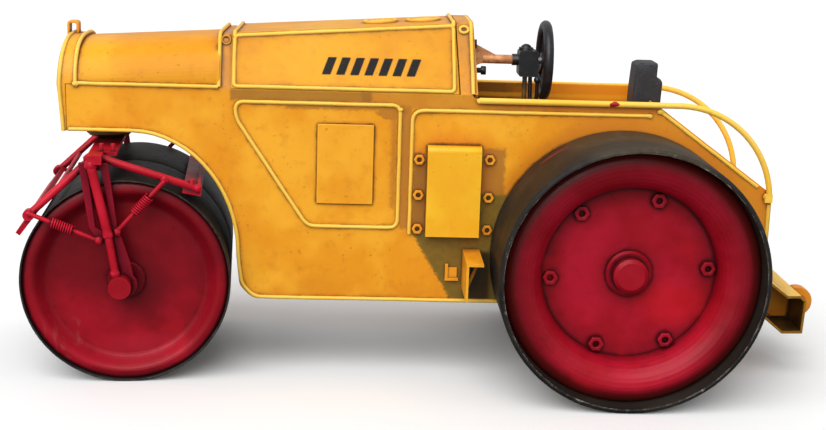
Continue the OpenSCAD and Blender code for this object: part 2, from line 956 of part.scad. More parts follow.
// Two rods behind the drum that carry an angle blade
module rear_scraper() {
    y = 44;
    top = [kingpin_x + 0.6, 91.7];
    low = [-96.6, 79.7];
    lug_x = -99;
    lug_h = 3.2;
    blade = [[-102.7, 78.6], [-96.2, 77.4], [-96.4, 81]];
    color(crimson)
        on_fork() {
            for (side = [-1, 1]) {
                rod([top[0], side * y, top[1]], [low[0], side * y, low[1]], 1.5);
                translate([lug_x, side * y, low[1] + 0.6])
                    cylinder(h = lug_h, r = 1.2);
            }
            slab(-y, y)
                polygon(stroke(blade, 1.2));
        }
}

// Places of the four struts: where each starts on a scraper and ends on a leg
strut_y = 46.2;
strut_front = [[-161.3, 69.9], [-134.2, 59]];
strut_back = [[-109.3, 83.2], [-127.9, 63]];

module strut_rods() {
    color(crimson)
        on_fork()
            for (side = [-1, 1], s = [strut_front, strut_back])
                rod([s[0][0], side * strut_y, s[0][1]], [s[1][0], side * strut_y, s[1][1]], 0.9);
}

// Each spring is a ridged sleeve over the middle of its strut
module strut_springs() {
    coils = 9;
    pitch = 0.95;
    wire = 0.45;
    mean = 1.65;
    color(crimson)
        on_fork()
            for (side = [-1, 1], s = [strut_front, strut_back])
                let (v = s[1] - s[0], len = norm(v), start = (len - coils * pitch) * 0.45)
                translate([s[0][0], side * strut_y, s[0][1]])
                    rotate([0, atan2(v[0], v[1]), 0])
                        translate([0, 0, start])
                            rotate_extrude()
                                polygon([[0.9, 0], [mean, 0],
                                    each [for (i = [0 : coils - 1]) each
                                        [[mean, i * pitch], [mean + wire, (i + 0.5) * pitch]]],
                                    [mean, coils * pitch], [0.9, coils * pitch]]);
}

// ---- front drum ------------------------------------------------------

// Draws a profile of radius and depth, turned about the Y axis at x, z.
// Depth is counted inwards from the outer face at y_out, which is negative on the left.
module turned(x, z, y_out) {
    translate([x, y_out, z])
        rotate([-90, 0, 0])
            rotate_extrude()
                children();
}

module drum_half() {
    web = 1.2;
    w = front_half - half_gap;
    color(black)
        turned(front_x, front_z, -front_half)
            polygon([[front_r, 0], [front_r, w], [front_axle_r + fit, w],
                [front_axle_r + fit, w - web], [front_r - front_hoop, w - web],
                [front_r - front_hoop, 0]]);
}

// Pressed face: flat in the middle, a smooth rise to a low crest, then a fall to the rim
module drum_face() {
    flat_r = 31;
    crest_r = 37;
    crest_d = 0.5;
    rim_r = front_r - front_hoop;
    rim_d = 2.4;
    web = 1.2;
    steps = 8;
    rise = [for (i = [0 : steps]) let (t = i / steps)
        [flat_r + (crest_r - flat_r) * t,
         front_dish - (front_dish - crest_d) * (1 - cos(180 * t)) / 2]];
    fall = [for (i = [1 : steps]) let (a = 90 * i / steps)
        [crest_r + (rim_r - crest_r) * sin(a), crest_d + (rim_d - crest_d) * (1 - cos(a))]];
    bowl = [each rise, each fall];
    n = len(bowl);
    back = [for (i = [n - 1 : -1 : 0]) [bowl[i][0], bowl[i][1] + web]];
    hub_r = 3.7;
    hub_d = 0.2;
    ring_r = 7.5;
    ring_d = front_dish - 1.6;
    color(crimson)
        turned(front_x, front_z, -front_half)
            polygon([[front_axle_r + fit, hub_d], [hub_r - 0.4, hub_d], [hub_r, hub_d + 0.4],
                [hub_r, ring_d], [ring_r - 0.6, ring_d], [ring_r, ring_d + 0.6], [ring_r, front_dish],
                each bowl, each back, [front_axle_r + fit, front_dish + web]]);
}

module drum_left() {
    fork_left()
        drum_half();
}

module drum_right() {
    fork_right()
        drum_half();
}

module drum_face_left() {
    fork_left()
        drum_face();
}

module drum_face_right() {
    fork_right()
        drum_face();
}

// ---- rear wheels -----------------------------------------------------

module rear_hoop_left() {
    web = 1.2;
    lip = 1;
    color(black)
        turned(rear_x, rear_z, -rear_out)
            polygon([[rear_r, lip], [rear_r - lip, 0], [rear_r - hoop, 0], [rear_r - hoop, rear_w - web],
                [axle_r + fit, rear_w - web], [axle_r + fit, rear_w], [rear_r, rear_w]]);
}

// Pressed face: flat plate, a raised ring, a groove beside the hoop, and a stepped hub
module rear_face_left() {
    web = 1;
    plate_r = 34.3;
    crest_r = 43.5;
    rim_r = rear_r - hoop;
    crest_d = 5.5;
    groove_d = 10;
    steps = 8;
    rise = [for (i = [0 : steps]) let (a = 90 * i / steps)
        [crest_r - (crest_r - plate_r) * cos(a),
         rear_dish - 0.8 - (rear_dish - 0.8 - crest_d) * pow(sin(a), 1.15)]];
    fall = [for (i = [1 : steps]) let (a = 90 * i / steps)
        [crest_r + (rim_r - crest_r) * sin(a), groove_d - (groove_d - crest_d) * cos(a)]];
    front = [[plate_r, rear_dish], each rise, each fall];
    n = len(front);
    back = [for (i = [n - 1 : -1 : 0])
        [min(max(front[i][0] + (front[i][0] < crest_r ? web * 0.6 : 0), plate_r), rim_r),
         front[i][1] + web + 0.4]];
    collar_r = 9.2;
    cap_r1 = 6.8;
    color(crimson)
        turned(rear_x, rear_z, -rear_out)
            polygon([[0, rear_dish - 6.5], [cap_r1 - 1.4, rear_dish - 6.5], [cap_r1, rear_dish - 5.4],
                [cap_r1, rear_dish - 1.8], [collar_r - 0.8, rear_dish - 1.8], [collar_r, rear_dish - 1],
                [collar_r, rear_dish], each front, each back, [axle_r + fit, rear_dish + web + 0.4],
                [axle_r + fit, rear_dish - 3], [0, rear_dish - 3]]);
}

module rear_nuts_left() {
    nut_h = 2.2;
    circle_r = 31.1;
    angles = [5, 71.5, 130, 184, 248.5, 301];
    y1 = -rear_out + rear_dish;
    color(crimson)
        for (a = angles)
            translate([rear_x + circle_r * cos(a), y1, rear_z + circle_r * sin(a)])
                rotate([90, 0, 0])
                    difference() {
                        cylinder(h = nut_h, r = nut_m3 / 2, $fn = 6);
                        translate([0, 0, -1])
                            cylinder(h = nut_h + 2, r = 1.25);
                    }
}

module rear_hoop_right() {
    other_side()
        rear_hoop_left();
}

module rear_face_right() {
    other_side()
        rear_face_left();
}

module rear_nuts_right() {
    other_side()
        rear_nuts_left();
}

side_panel_left();
side_panel_right();
front_cowl();
radiator_grille();
lifting_loop();
front_hood();
hood_strap();
rear_hood();
hood_caps();
hood_trim();
firewall();
dash_knobs();
floor_plate();
arch_liner();
rear_cover();
kingpin();
edge_trim_left();
edge_trim_right();
side_trim_left();
side_trim_right();
access_plate_left();
access_plate_right();
toolbox_left();
toolbox_right();
toolbox_nuts();
step_left();
step_right();
handrail_left();
handrail_right();
steering_bracket();
steering_gearbox();
steering_post();
control_levers();
seat_base();
seat();
drawbar();
tow_eye();
rear_axle();
steering_wheel();
steering_shaft();
turntable();
fork_crown();
fork_leg_left();
fork_leg_right();
fork_stays();
front_axle();
front_scraper();
rear_scraper();
strut_rods();
strut_springs();
drum_left();
drum_face_left();
drum_right();
drum_face_right();
rear_hoop_left();
rear_face_left();
rear_nuts_left();
rear_hoop_right();
rear_face_right();
rear_nuts_right();
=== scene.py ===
"""Looks of the toy road roller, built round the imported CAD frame. Metres, in the frame's own axes."""
import json
import math

import bmesh
import bpy
from mathutils import Matrix, Vector, noise


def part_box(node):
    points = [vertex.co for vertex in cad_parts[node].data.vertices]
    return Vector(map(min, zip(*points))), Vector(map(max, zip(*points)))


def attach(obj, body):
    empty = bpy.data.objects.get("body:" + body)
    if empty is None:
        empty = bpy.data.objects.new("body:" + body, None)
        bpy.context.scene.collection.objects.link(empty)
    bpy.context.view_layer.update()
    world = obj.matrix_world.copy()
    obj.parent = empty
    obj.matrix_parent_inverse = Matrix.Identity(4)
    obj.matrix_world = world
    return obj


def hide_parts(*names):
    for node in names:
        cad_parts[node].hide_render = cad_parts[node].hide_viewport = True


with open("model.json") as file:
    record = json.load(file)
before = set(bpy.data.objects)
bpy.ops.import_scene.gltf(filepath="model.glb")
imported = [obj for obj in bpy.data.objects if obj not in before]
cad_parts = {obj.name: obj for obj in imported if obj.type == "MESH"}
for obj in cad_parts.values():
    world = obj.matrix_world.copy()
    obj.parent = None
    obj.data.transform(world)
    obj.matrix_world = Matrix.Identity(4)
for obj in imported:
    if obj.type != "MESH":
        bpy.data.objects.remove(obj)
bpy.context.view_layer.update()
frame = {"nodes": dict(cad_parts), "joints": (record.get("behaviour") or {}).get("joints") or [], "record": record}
MM = 0.001

# ---- driving dimensions, from the frame's boxes ---------------------------

PANEL_LO, PANEL_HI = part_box("side_panel_left")
SIDE_Y = PANEL_LO.y                    # outer face of the left panel
BELLY_Z = PANEL_LO.z
NOSE_BACK = PANEL_LO.x                 # where the panel meets the frame round the nose
TAIL_X = PANEL_HI.x
HOOD_Z = PANEL_HI.z                    # the line on which the hoods sit
COWL_LO, COWL_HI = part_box("front_cowl")
NOSE_Z = COWL_LO.z
STRAP_LO, STRAP_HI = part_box("hood_strap")
FIREWALL_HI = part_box("firewall")[1]
BOX_LO, BOX_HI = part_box("toolbox_left")
DRAWBAR_LO, DRAWBAR_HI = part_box("drawbar")
HOOP_LO, HOOP_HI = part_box("rear_hoop_left")
REAR_AXLE = Vector(((HOOP_LO.x + HOOP_HI.x) / 2, 0, (HOOP_LO.z + HOOP_HI.z) / 2))
REAR_R = (HOOP_HI.z - HOOP_LO.z) / 2
DRUM_R = 41.3 * MM
JOINTS = {j["name"]: j for j in frame["joints"]}
KINGPIN = Vector(JOINTS["fork_steer"]["pos_m"])
DRUM_AXIS = JOINTS["front_drum_left_spin"]["axis"]
FORK_TURN = math.atan2(-DRUM_AXIS[0], DRUM_AXIS[1])

WIRE_R = 0.78 * MM
WIRE_GAP = 1.6 * MM                    # distance between a wire's rings
WIRE_WOBBLE = 0.10 * MM
WANDER_SEED = 20                       # the wires' wander would follow the clock if unseeded
noise.seed_set(WANDER_SEED)
HALF = -SIDE_Y
MID_TOP = 138.6 * MM                   # heights of the rear hood's top at its two ends
REAR_TOP = 145.1 * MM
HOOD_END_X = 9 * MM                    # where its top reaches the second height
HOOD_LEAN = 9.5 * MM                   # how far the rear hood's sides lean in at its highest corner
ARCH_CENTRE = Vector((-121 * MM, 0, 50 * MM))
ARCH_A = 41.5 * MM                     # half axes of the wheel arch
ARCH_FOOT = Vector((-78.2 * MM, 0, 37 * MM))
BELLY_CORNER = Vector((-73 * MM, 0, BELLY_Z))
SLOPE_TOP = Vector((89.5 * MM, 0, 114.5 * MM))
SLOPE_END = Vector((TAIL_X - 1 * MM, 0, 80.5 * MM))
NOSE_FOOT_X = -148 * MM                # front edge of the cowl at its foot
FRAME_X = (-80 * MM, -14.5 * MM)       # the front side frame
FRAME_Z = (62.5 * MM, 112.5 * MM)
FRAME_CUT = (-51 * MM, 106 * MM)       # ends of its slanting side: X at the foot, Z at the front
ANGLE_X = (-9.6 * MM, 85.5 * MM)       # the long angle behind it: its upright and its far end
ANGLE_Z = (60 * MM, 110.8 * MM)
HOOD_WIRE_X = 6.8 * MM                 # rear end of the wires on the rear hood, and how far it leans
HOOD_WIRE_LEAN = 0.9 * MM
CAB_WIRE_X = (14.3 * MM, 12.9 * MM)    # the wire over the cab's front, at its foot and at its top
RING_X = 10.2 * MM                     # flat rings beside that wire, this far below its top
RING_DROP = 2.6 * MM
RING_HALF = (1.7 * MM, 1.3 * MM)       # half their length and half their height

CAMERA_PLACE = (-0.03167, -0.57989, 0.19488)
CAMERA_TURN = (-2.43, 12.92, 1.84)     # yaw, pitch down and roll, in degrees
CAMERA_LENS = 61.05
SKY = (0.18, 0.66)                     # strength of the sky below and above


# ---- node materials -------------------------------------------------------

class Shader:
    """A small writer of node materials. Coordinates are the object's own, which are the frame's."""

    def __init__(self, name):
        self.material = bpy.data.materials.new(name)
        self.material.use_nodes = True
        self.tree = self.material.node_tree
        self.bsdf = self.tree.nodes["Principled BSDF"]
        self.coords = self.tree.nodes.new("ShaderNodeTexCoord")

    def put(self, kind, values=(), **settings):
        """Adds a node. values go into its sockets, by name or number, and settings to its own options."""
        node = self.tree.nodes.new(kind)
        for key, value in settings.items():
            setattr(node, key, value)
        for socket, value in dict(values).items():
            self.plug(node.inputs[socket], value)
        return node

    def plug(self, socket, value):
        """Links another node's output into the socket, or sets the socket's own value."""
        if isinstance(value, bpy.types.NodeSocket):
            self.tree.links.new(value, socket)
        elif socket.type == "RGBA":
            socket.default_value = (*value, 1.0)
        else:
            socket.default_value = value

    def place(self):
        return self.coords.outputs["Object"]

    def axis(self, index):
        return self.put("ShaderNodeSeparateXYZ", {0: self.place()}).outputs[index]

    def noise(self, scale, detail=4.0, rough=0.55, stretch=(1, 1, 1), warp=0.0):
        at = self.put("ShaderNodeMapping", {"Vector": self.place(), "Scale": stretch}).outputs[0]
        node = self.put("ShaderNodeTexNoise", {"Vector": at, "Scale": scale, "Detail": detail,
                                               "Roughness": rough, "Distortion": warp})
        return node.outputs["Fac"]

    def math(self, operation, a, b=0.0, clamp=False):
        return self.put("ShaderNodeMath", {0: a, 1: b}, operation=operation, use_clamp=clamp).outputs[0]

    def times(self, a, b):
        return self.math("MULTIPLY", a, b)

    def plus(self, a, b):
        return self.math("ADD", a, b)

    def minus(self, a, b):
        return self.math("SUBTRACT", a, b)

    def step(self, value, low, high):
        """0 below low, 1 above high, and smooth between them. It falls where high is below low."""
        flip = high < low
        node = self.put("ShaderNodeMapRange", {"Value": value, "From Min": min(low, high),
                                               "From Max": max(low, high),
                                               "To Min": 1.0 if flip else 0.0,
                                               "To Max": 0.0 if flip else 1.0},
                        interpolation_type="SMOOTHSTEP")
        return node.outputs["Result"]

    def mix(self, share, a, b):
        node = self.put("ShaderNodeMix", data_type="RGBA")
        self.plug(node.inputs["Factor"], share)
        self.plug(node.inputs[6], a)
        self.plug(node.inputs[7], b)
        return node.outputs[2]

    def recess(self, distance):
        """1 in the open, lower beside a raised edge or in a corner."""
        node = self.put("ShaderNodeAmbientOcclusion", {"Distance": distance}, samples=6)
        return node.outputs["AO"]

    def edge(self, distance):
        """1 on a flat face, lower near an outer edge."""
        node = self.put("ShaderNodeAmbientOcclusion", {"Distance": distance}, samples=6, inside=True)
        return node.outputs["AO"]

    def blob(self, centre, radii, ragged, scale=260, soft=0.25):
        """1 inside a ragged ellipsoid, 0 outside. A large soft fades it from the middle outwards."""
        away = self.put("ShaderNodeVectorMath", {0: self.place(), 1: centre}, operation="SUBTRACT")
        sized = self.put("ShaderNodeVectorMath", {0: away.outputs[0], 1: [1 / r for r in radii]},
                         operation="MULTIPLY")
        far = self.put("ShaderNodeVectorMath", {0: sized.outputs[0]}, operation="LENGTH").outputs["Value"]
        rough = self.times(self.minus(self.noise(scale, 5, 0.62), 0.5), ragged)
        return self.step(self.plus(far, rough), 1.1, 1.1 - soft)

    def union(self, *masks):
        total = masks[0]
        for mask in masks[1:]:
            total = self.math("MAXIMUM", total, mask)
        return total

    def bump(self, height, strength, distance, under=None):
        values = {"Height": height, "Strength": strength, "Distance": distance}
        if under is not None:
            values["Normal"] = under
        return self.put("ShaderNodeBump", values).outputs[0]

    def speckle(self, scale, patch_scale, low=0.66, high=0.72):
        """Small specks, gathered in loose patches."""
        dots = self.step(self.noise(scale, 2, 0.5), low, high)
        return self.times(dots, self.step(self.noise(patch_scale, 3), 0.44, 0.60))

    def finish(self, colour, roughness, normal, metallic=0.0, coat=0.0, specular=0.5):
        self.plug(self.bsdf.inputs["Base Color"], colour)
        self.plug(self.bsdf.inputs["Roughness"], roughness)
        self.plug(self.bsdf.inputs["Normal"], normal)
        self.bsdf.inputs["Metallic"].default_value = metallic
        self.bsdf.inputs["Coat Weight"].default_value = coat
        self.bsdf.inputs["Coat Roughness"].default_value = 0.25
        self.bsdf.inputs["Specular IOR Level"].default_value = specular
        return self.material


YELLOW = (0.86, 0.325, 0.0100)
PALE = (0.97, 0.44, 0.0230)
ORANGE = (0.60, 0.180, 0.0095)
GOLD = (1.0, 0.57, 0.0480)
BROWN = (0.080, 0.026, 0.005)
OLIVE = (0.145, 0.105, 0.016)
CRIMSON = (0.320, 0.0040, 0.0120)
RASPBERRY = (0.430, 0.0070, 0.0250)
WINE = (0.050, 0.0015, 0.0040)
BLACK = (0.010, 0.010, 0.012)
TREAD = (0.046, 0.034, 0.020)
WORN = (0.46, 0.42, 0.36)
DARK = (0.020, 0.013, 0.005)
TAN = (0.40, 0.150, 0.022)
CLAY = (0.46, 0.165, 0.020)
UMBER = (0.26, 0.115, 0.020)
BARK = (0.33, 0.120, 0.016)
SHADOW = (0.022, 0.009, 0.004)
DEEP_YELLOW = (0.68, 0.225, 0.016)
PALE_OLIVE = (0.185, 0.120, 0.018)
DEEP_RED = (0.120, 0.0022, 0.0070)
HOT_RED = (0.60, 0.0080, 0.0130)


def enamel(name, light, base, deep, shade_and_speck, tight=1.6 * MM, wide=7.0 * MM, stains_and_light=None, deep_share=0.80,
           line_shade_share=0.92, specular=0.26, coat=0.06, specks=0.30):
    """Brushed and aged enamel: two tones, painted shade as a deeper band beside raised edges and as a dark line
    right against them and in creases, paler outer edges as painted highlight, and small rusty specks."""
    s = Shader(name)
    broad = s.noise(30, 3, 0.6)
    fine = s.noise(190, 5, 0.62)
    grain = s.noise(1500, 3, 0.6)
    rough = s.minus(fine, 0.5)
    colour = s.mix(s.step(broad, 0.40, 0.64), base, light)
    colour = s.mix(s.times(s.step(fine, 0.50, 0.74), 0.32), colour, deep)
    # Painted shade: a deeper band near raised edges and in corners.
    band_shade = s.plus(s.recess(wide), s.times(rough, 0.45))
    colour = s.mix(s.times(s.step(band_shade, 0.97, 0.70), deep_share), colour, deep)
    # Painted shade: a dark line right against raised edges.
    line_shade = s.plus(s.recess(tight), s.times(rough, 0.42))
    colour = s.mix(s.times(s.step(line_shade, 0.93, 0.70), line_shade_share), colour, shade_and_speck)
    # Stains, and painted light and shade, from the given function.
    if stains_and_light is not None:
        for mask, tint in stains_and_light(s):
            colour = s.mix(mask, colour, tint)
    # Painted shade in creases.
    crease_shade = s.plus(s.recess(0.8 * MM), s.times(rough, 0.30))
    colour = s.mix(s.times(s.step(crease_shade, 0.86, 0.62), 0.70), colour, shade_and_speck)
    # Painted highlight: the outer edges take the paint's lighter tone.
    rim = s.plus(s.edge(0.9 * MM), s.times(s.minus(grain, 0.5), 0.5))
    colour = s.mix(s.times(s.step(rim, 0.80, 0.55), 0.50), colour, light)
    colour = s.mix(s.times(s.speckle(620, 70), specks), colour, shade_and_speck)
    gloss = s.step(s.noise(120, 4, 0.6), 0.2, 0.85)
    roughness = s.plus(s.times(gloss, 0.16), 0.30)
    normal = s.bump(s.noise(85, 3, 0.5), 0.25, 0.6 * MM)
    normal = s.bump(s.noise(900, 4, 0.6), 0.22, 0.12 * MM, normal)
    return s.finish(colour, roughness, normal, coat=coat, specular=specular)


def within(s, x, z, x_range, z_range, soft=0.8 * MM):
    """1 inside an upright rectangle, with soft edges. The ranges may hold node values."""
    mask = s.times(s.step(s.minus(x, x_range[0]), -soft, soft),
                   s.step(s.minus(x, x_range[1]), soft, -soft))
    mask = s.times(mask, s.step(s.minus(z, z_range[0]), -soft, soft))
    return s.times(mask, s.step(s.minus(z, z_range[1]), soft, -soft))


def panel_stains_and_shade(s):
    """On the near panel: a deeper rear half, brown wash between the wire frames, painted shade under the hood
    line, towards the belly and inside the step, and the olive stain round the toolbox and down to the wheel."""
    low, high = BOX_LO, BOX_HI
    cloud = s.minus(s.noise(60, 5, 0.65), 0.5)
    frayed = s.minus(s.noise(520, 5, 0.75), 0.5)
    x = s.plus(s.axis(0), s.times(frayed, 4 * MM))
    z = s.plus(s.axis(2), s.times(frayed, 4 * MM))
    along = s.plus(s.axis(0), s.times(cloud, 0.05))
    rear = s.step(along, 40 * MM, 60 * MM)
    # Painted shade: more orange towards the belly.
    belly = s.step(s.plus(s.axis(2), s.times(cloud, 0.03)), BELLY_Z + 12 * MM, BELLY_Z)
    # Painted shade under the hood line.
    under_hood = within(s, x, z, (-82 * MM, -26 * MM), (113 * MM, 118 * MM))
    under_rest = within(s, x, z, (-30 * MM, 90 * MM), (111.5 * MM, 118 * MM))
    between = within(s, x, z, (-14 * MM, -10 * MM), (62 * MM, 112 * MM))
    right_in = within(s, x, z, (-17.8 * MM, -15.8 * MM), (70 * MM, 112 * MM), 1.3 * MM)
    corner = s.union(right_in, s.blob((-18 * MM, SIDE_Y, 109.5 * MM), (6 * MM, 9 * MM, 3 * MM), 1.0, 300))
    top_in = within(s, x, z, (-60 * MM, -18 * MM), (110.2 * MM, 112 * MM))
    # Painted shade inside the step.
    in_step = within(s, s.axis(0), s.axis(2), (13.4 * MM, 24 * MM), (BELLY_Z + 1 * MM, 53.2 * MM), 1.2 * MM)
    left = within(s, x, z, (low.x - 5.4 * MM, low.x), (low.z - 1 * MM, high.z - 3.5 * MM))
    right = within(s, x, z, (high.x, high.x + 10 * MM), (low.z + 17 * MM, high.z - 1 * MM))
    olive_edge = s.times(s.minus(low.z, z), 0.60)
    olive_start = s.plus(olive_edge, low.x - 5.2 * MM)
    under_box = within(s, x, z, (olive_start, 60 * MM), (BELLY_Z, low.z + 0.6 * MM))
    beside = within(s, x, z, (high.x - 1 * MM, 60 * MM), (BELLY_Z, low.z + 17 * MM))
    tint = s.mix(s.step(s.noise(420, 4, 0.6), 0.35, 0.65), OLIVE, PALE_OLIVE)
    return [(s.times(rear, 0.70), DEEP_YELLOW),
            (s.times(belly, 0.30), ORANGE),
            (s.times(under_rest, 0.55), CLAY),
            (s.times(s.union(corner, top_in), 0.60), BARK),
            (s.times(under_hood, 0.70), UMBER),
            (s.times(between, 0.75), TAN),
            (s.times(left, 0.85), UMBER),
            (s.times(right, 0.80), TAN),
            (s.times(s.union(under_box, beside), 0.92), tint),
            (s.times(in_step, 0.85), SHADOW)]


def wall_shade(s):
    """The cab side of the far panel: painted shade in dark brown at the front, orange at the rear."""
    facing = s.put("ShaderNodeSeparateXYZ", {0: s.coords.outputs["Normal"]}).outputs[1]
    inside = s.step(facing, -0.2, -0.7)
    along = s.plus(s.axis(0), s.times(s.minus(s.noise(150, 4), 0.5), 0.03))
    # Painted shade towards the front.
    front = s.step(along, 58 * MM, 30 * MM)
    tint = s.mix(front, (0.86, 0.26, 0.013), (0.15, 0.053, 0.008))
    return [(s.times(inside, 0.92), tint)]


def rail_stains(s):
    """A red scuff on the near handrail."""
    mask = s.blob((70.6 * MM, SIDE_Y - 2.4 * MM, 115.4 * MM), (2.4 * MM, 2.4 * MM, 1.1 * MM), 1.8, 420)
    return [(mask, (0.36, 0.006, 0.012))]


def bracket_light_and_shade(s):
    """Painted shade: the drawbar is dark inside and on its near end. Painted highlight: it is pale on top."""
    inside = s.step(s.recess(24 * MM), 0.80, 0.64)
    near_end = s.step(s.axis(1), DRAWBAR_LO.y + 0.5 * MM, DRAWBAR_LO.y + 0.2 * MM)
    inside_shade_tone = s.mix(s.step(s.noise(160, 4, 0.6), 0.42, 0.66), DARK, (0.060, 0.034, 0.008))
    # The pale top is painted highlight; the dark inside and near end is painted shade.
    return [(s.step(s.axis(2), 33 * MM, 36 * MM), (0.98, 0.62, 0.10)),
            (s.times(s.union(inside, near_end), 0.97), inside_shade_tone)]


def tail_shade(s):
    """Painted shade: the back plate is dark where the drawbar's open end shows it."""
    across = s.step(s.math("ABSOLUTE", s.axis(1)), DRAWBAR_HI.y + 0.5 * MM, DRAWBAR_HI.y - 0.5 * MM)
    upright = s.step(s.axis(2), 44 * MM, 42 * MM)
    return [(s.times(s.times(across, upright), 0.95), DARK)]


def red_tone_and_light(s):
    """Brighter cloudy spots. A rear wheel has painted shade over its outer ring except low down, where a painted
    highlight makes it brighter, one brighter patch, and painted shade on its dark outermost edge."""
    bright = s.times(s.step(s.noise(38, 3, 0.6), 0.56, 0.72), 0.55)
    away = s.put("ShaderNodeVectorMath", {0: s.place(), 1: REAR_AXLE}, operation="SUBTRACT")
    flat = s.put("ShaderNodeVectorMath", {0: away.outputs[0], 1: (1, 0, 1)}, operation="MULTIPLY")
    radius = s.put("ShaderNodeVectorMath", {0: flat.outputs[0]}, operation="LENGTH").outputs["Value"]
    ring = s.step(radius, 35 * MM, 44 * MM)
    near_wheel = s.step(s.axis(0), 15 * MM, 20 * MM)
    high_up = s.step(s.axis(2), 6 * MM, 34 * MM)
    # Painted shade over the outer ring, except low down.
    shade = s.times(s.times(ring, near_wheel), s.times(high_up, 0.55))
    # Painted shade on the outermost edge beside the hoop.
    outermost = s.times(s.step(radius, 44.6 * MM, 47.8 * MM), near_wheel)
    band = s.times(s.step(radius, 36 * MM, 39 * MM), s.step(radius, 46 * MM, 43 * MM))
    # Painted highlight on a band low down.
    band_highlight = s.times(s.times(band, near_wheel), s.step(s.axis(2), 26 * MM, 10 * MM))
    low_right = REAR_AXLE + Vector((18 * MM, SIDE_Y - 20 * MM, -12 * MM))
    patch = s.blob(low_right, (18 * MM, 40 * MM, 11 * MM), 1.0, 45, soft=0.8)
    return [(bright, (0.46, 0.0060, 0.0140)), (shade, DEEP_RED),
            (s.times(patch, 0.45), HOT_RED),
            (s.times(band_highlight, 0.22), (0.60, 0.0140, 0.0340)),
            (s.times(outermost, 0.80), (0.060, 0.0060, 0.0040))]


def drum_tone_and_light(s):
    """As the wheels, with painted shade at the top and round the hub, a soft painted highlight low down, and pale
    scuffs low down.
    """
    low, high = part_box("drum_face_left")
    middle = Vector(((low.x + high.x) / 2, low.y, DRUM_R))
    area = s.blob((middle.x - 25 * MM, low.y, 19 * MM), (9 * MM, 12 * MM, 10 * MM), 0.9, 120)
    scrape = s.noise(300, 5, 0.7, stretch=(1, 1, 0.45), warp=0.4)
    worn = s.times(area, s.step(scrape, 0.50, 0.64))
    # Painted shade at the top and round the hub, and a painted highlight low down.
    top_shade = s.blob((middle.x, low.y, 66 * MM), (50 * MM, 40 * MM, 34 * MM), 0.2, 40)
    hub_shade = s.blob(middle + Vector((4 * MM, 0, -7 * MM)), (19 * MM, 40 * MM, 16 * MM), 0.5, 60, soft=0.8)
    lower_highlight = s.blob(middle + Vector((9 * MM, 0, -28 * MM)), (24 * MM, 40 * MM, 8 * MM), 0.7, 70, soft=1.0)
    return red_tone_and_light(s) + [(s.times(top_shade, 0.45), (0.120, 0.0020, 0.0060)),
                            (s.times(hub_shade, 0.45), (0.110, 0.0030, 0.0085)),
                            (s.times(lower_highlight, 0.34), (0.60, 0.0240, 0.0520)),
                            (s.times(worn, 0.22), (0.36, 0.10, 0.09))]


def black_iron(name, tread):
    """Black hoops with pale nicks along the edges. A rear wheel's tread has olive-grey painted light on top,
    painted shade on its near side, and a red streak."""
    s = Shader(name)
    fine = s.noise(260, 5, 0.62)
    colour = s.mix(s.step(s.noise(60, 4, 0.6), 0.35, 0.7), (0.010, 0.009, 0.009), (0.026, 0.023, 0.019))
    if tread:
        top = REAR_AXLE + Vector((8 * MM, 0, REAR_R))
        # Painted light: the tread's top is olive-grey.
        lit_top = s.blob(top, (42 * MM, 100 * MM, 15 * MM), 0.45, 60)
        colour = s.mix(lit_top, colour, s.mix(s.step(fine, 0.42, 0.70), TREAD, (0.072, 0.056, 0.035)))
        outside = REAR_AXLE + Vector((0, SIDE_Y - 32 * MM, 0))
        # Painted shade on the tread's near side.
        near_side_shade = s.blob(outside, (70 * MM, 13 * MM, 70 * MM), 0.3, 80)
        colour = s.mix(s.times(near_side_shade, 0.6), colour, (0.022, 0.014, 0.009))
        streak = s.blob((47 * MM, SIDE_Y - 9 * MM, 96 * MM), (6.5 * MM, 1.8 * MM, 9 * MM), 0.5)
        colour = s.mix(s.times(streak, 0.85), colour, (0.17, 0.016, 0.028))
    chips = s.times(s.minus(s.noise(240, 4, 0.7), 0.5), 1.3)
    rim = s.plus(s.edge(0.6 * MM), chips)
    worn_share = 0.75 if tread else 0.12
    colour = s.mix(s.times(s.step(rim, 0.72, 0.60), worn_share), colour, WORN)
    roughness = s.plus(s.times(fine, 0.25), 0.42)
    normal = s.bump(s.noise(140, 4, 0.6), 0.4, 0.6 * MM)
    normal = s.bump(s.noise(1300, 3, 0.6), 0.2, 0.1 * MM, normal)
    return s.finish(colour, roughness, normal, coat=0.0, specular=0.20)


def mark_paint():
    """The bars' own black: a thin plate is all edge to the enamel's worn rims."""
    s = Shader("mark_paint")
    colour = s.mix(s.step(s.noise(500, 4, 0.6), 0.45, 0.75), (0.006, 0.005, 0.005), (0.018, 0.014, 0.010))
    return s.finish(colour, 0.5, s.bump(s.noise(900, 3), 0.15, 0.05 * MM), specular=0.2)


def black_paint(name, base, lift, low_rough):
    """Black paint with greyer clouds and faintly worn edges."""
    s = Shader(name)
    fine = s.noise(420, 4, 0.6)
    colour = s.mix(s.times(s.step(fine, 0.4, 0.75), 0.6), base, lift)
    rim = s.plus(s.edge(0.6 * MM), s.times(s.minus(s.noise(900, 3), 0.5), 0.5))
    colour = s.mix(s.times(s.step(rim, 0.70, 0.45), 0.35), colour, (0.18, 0.17, 0.17))
    roughness = s.plus(s.times(fine, 0.22), low_rough)
    normal = s.bump(s.noise(700, 4, 0.6), 0.3, 0.15 * MM)
    return s.finish(colour, roughness, normal, coat=0.15, specular=0.35)


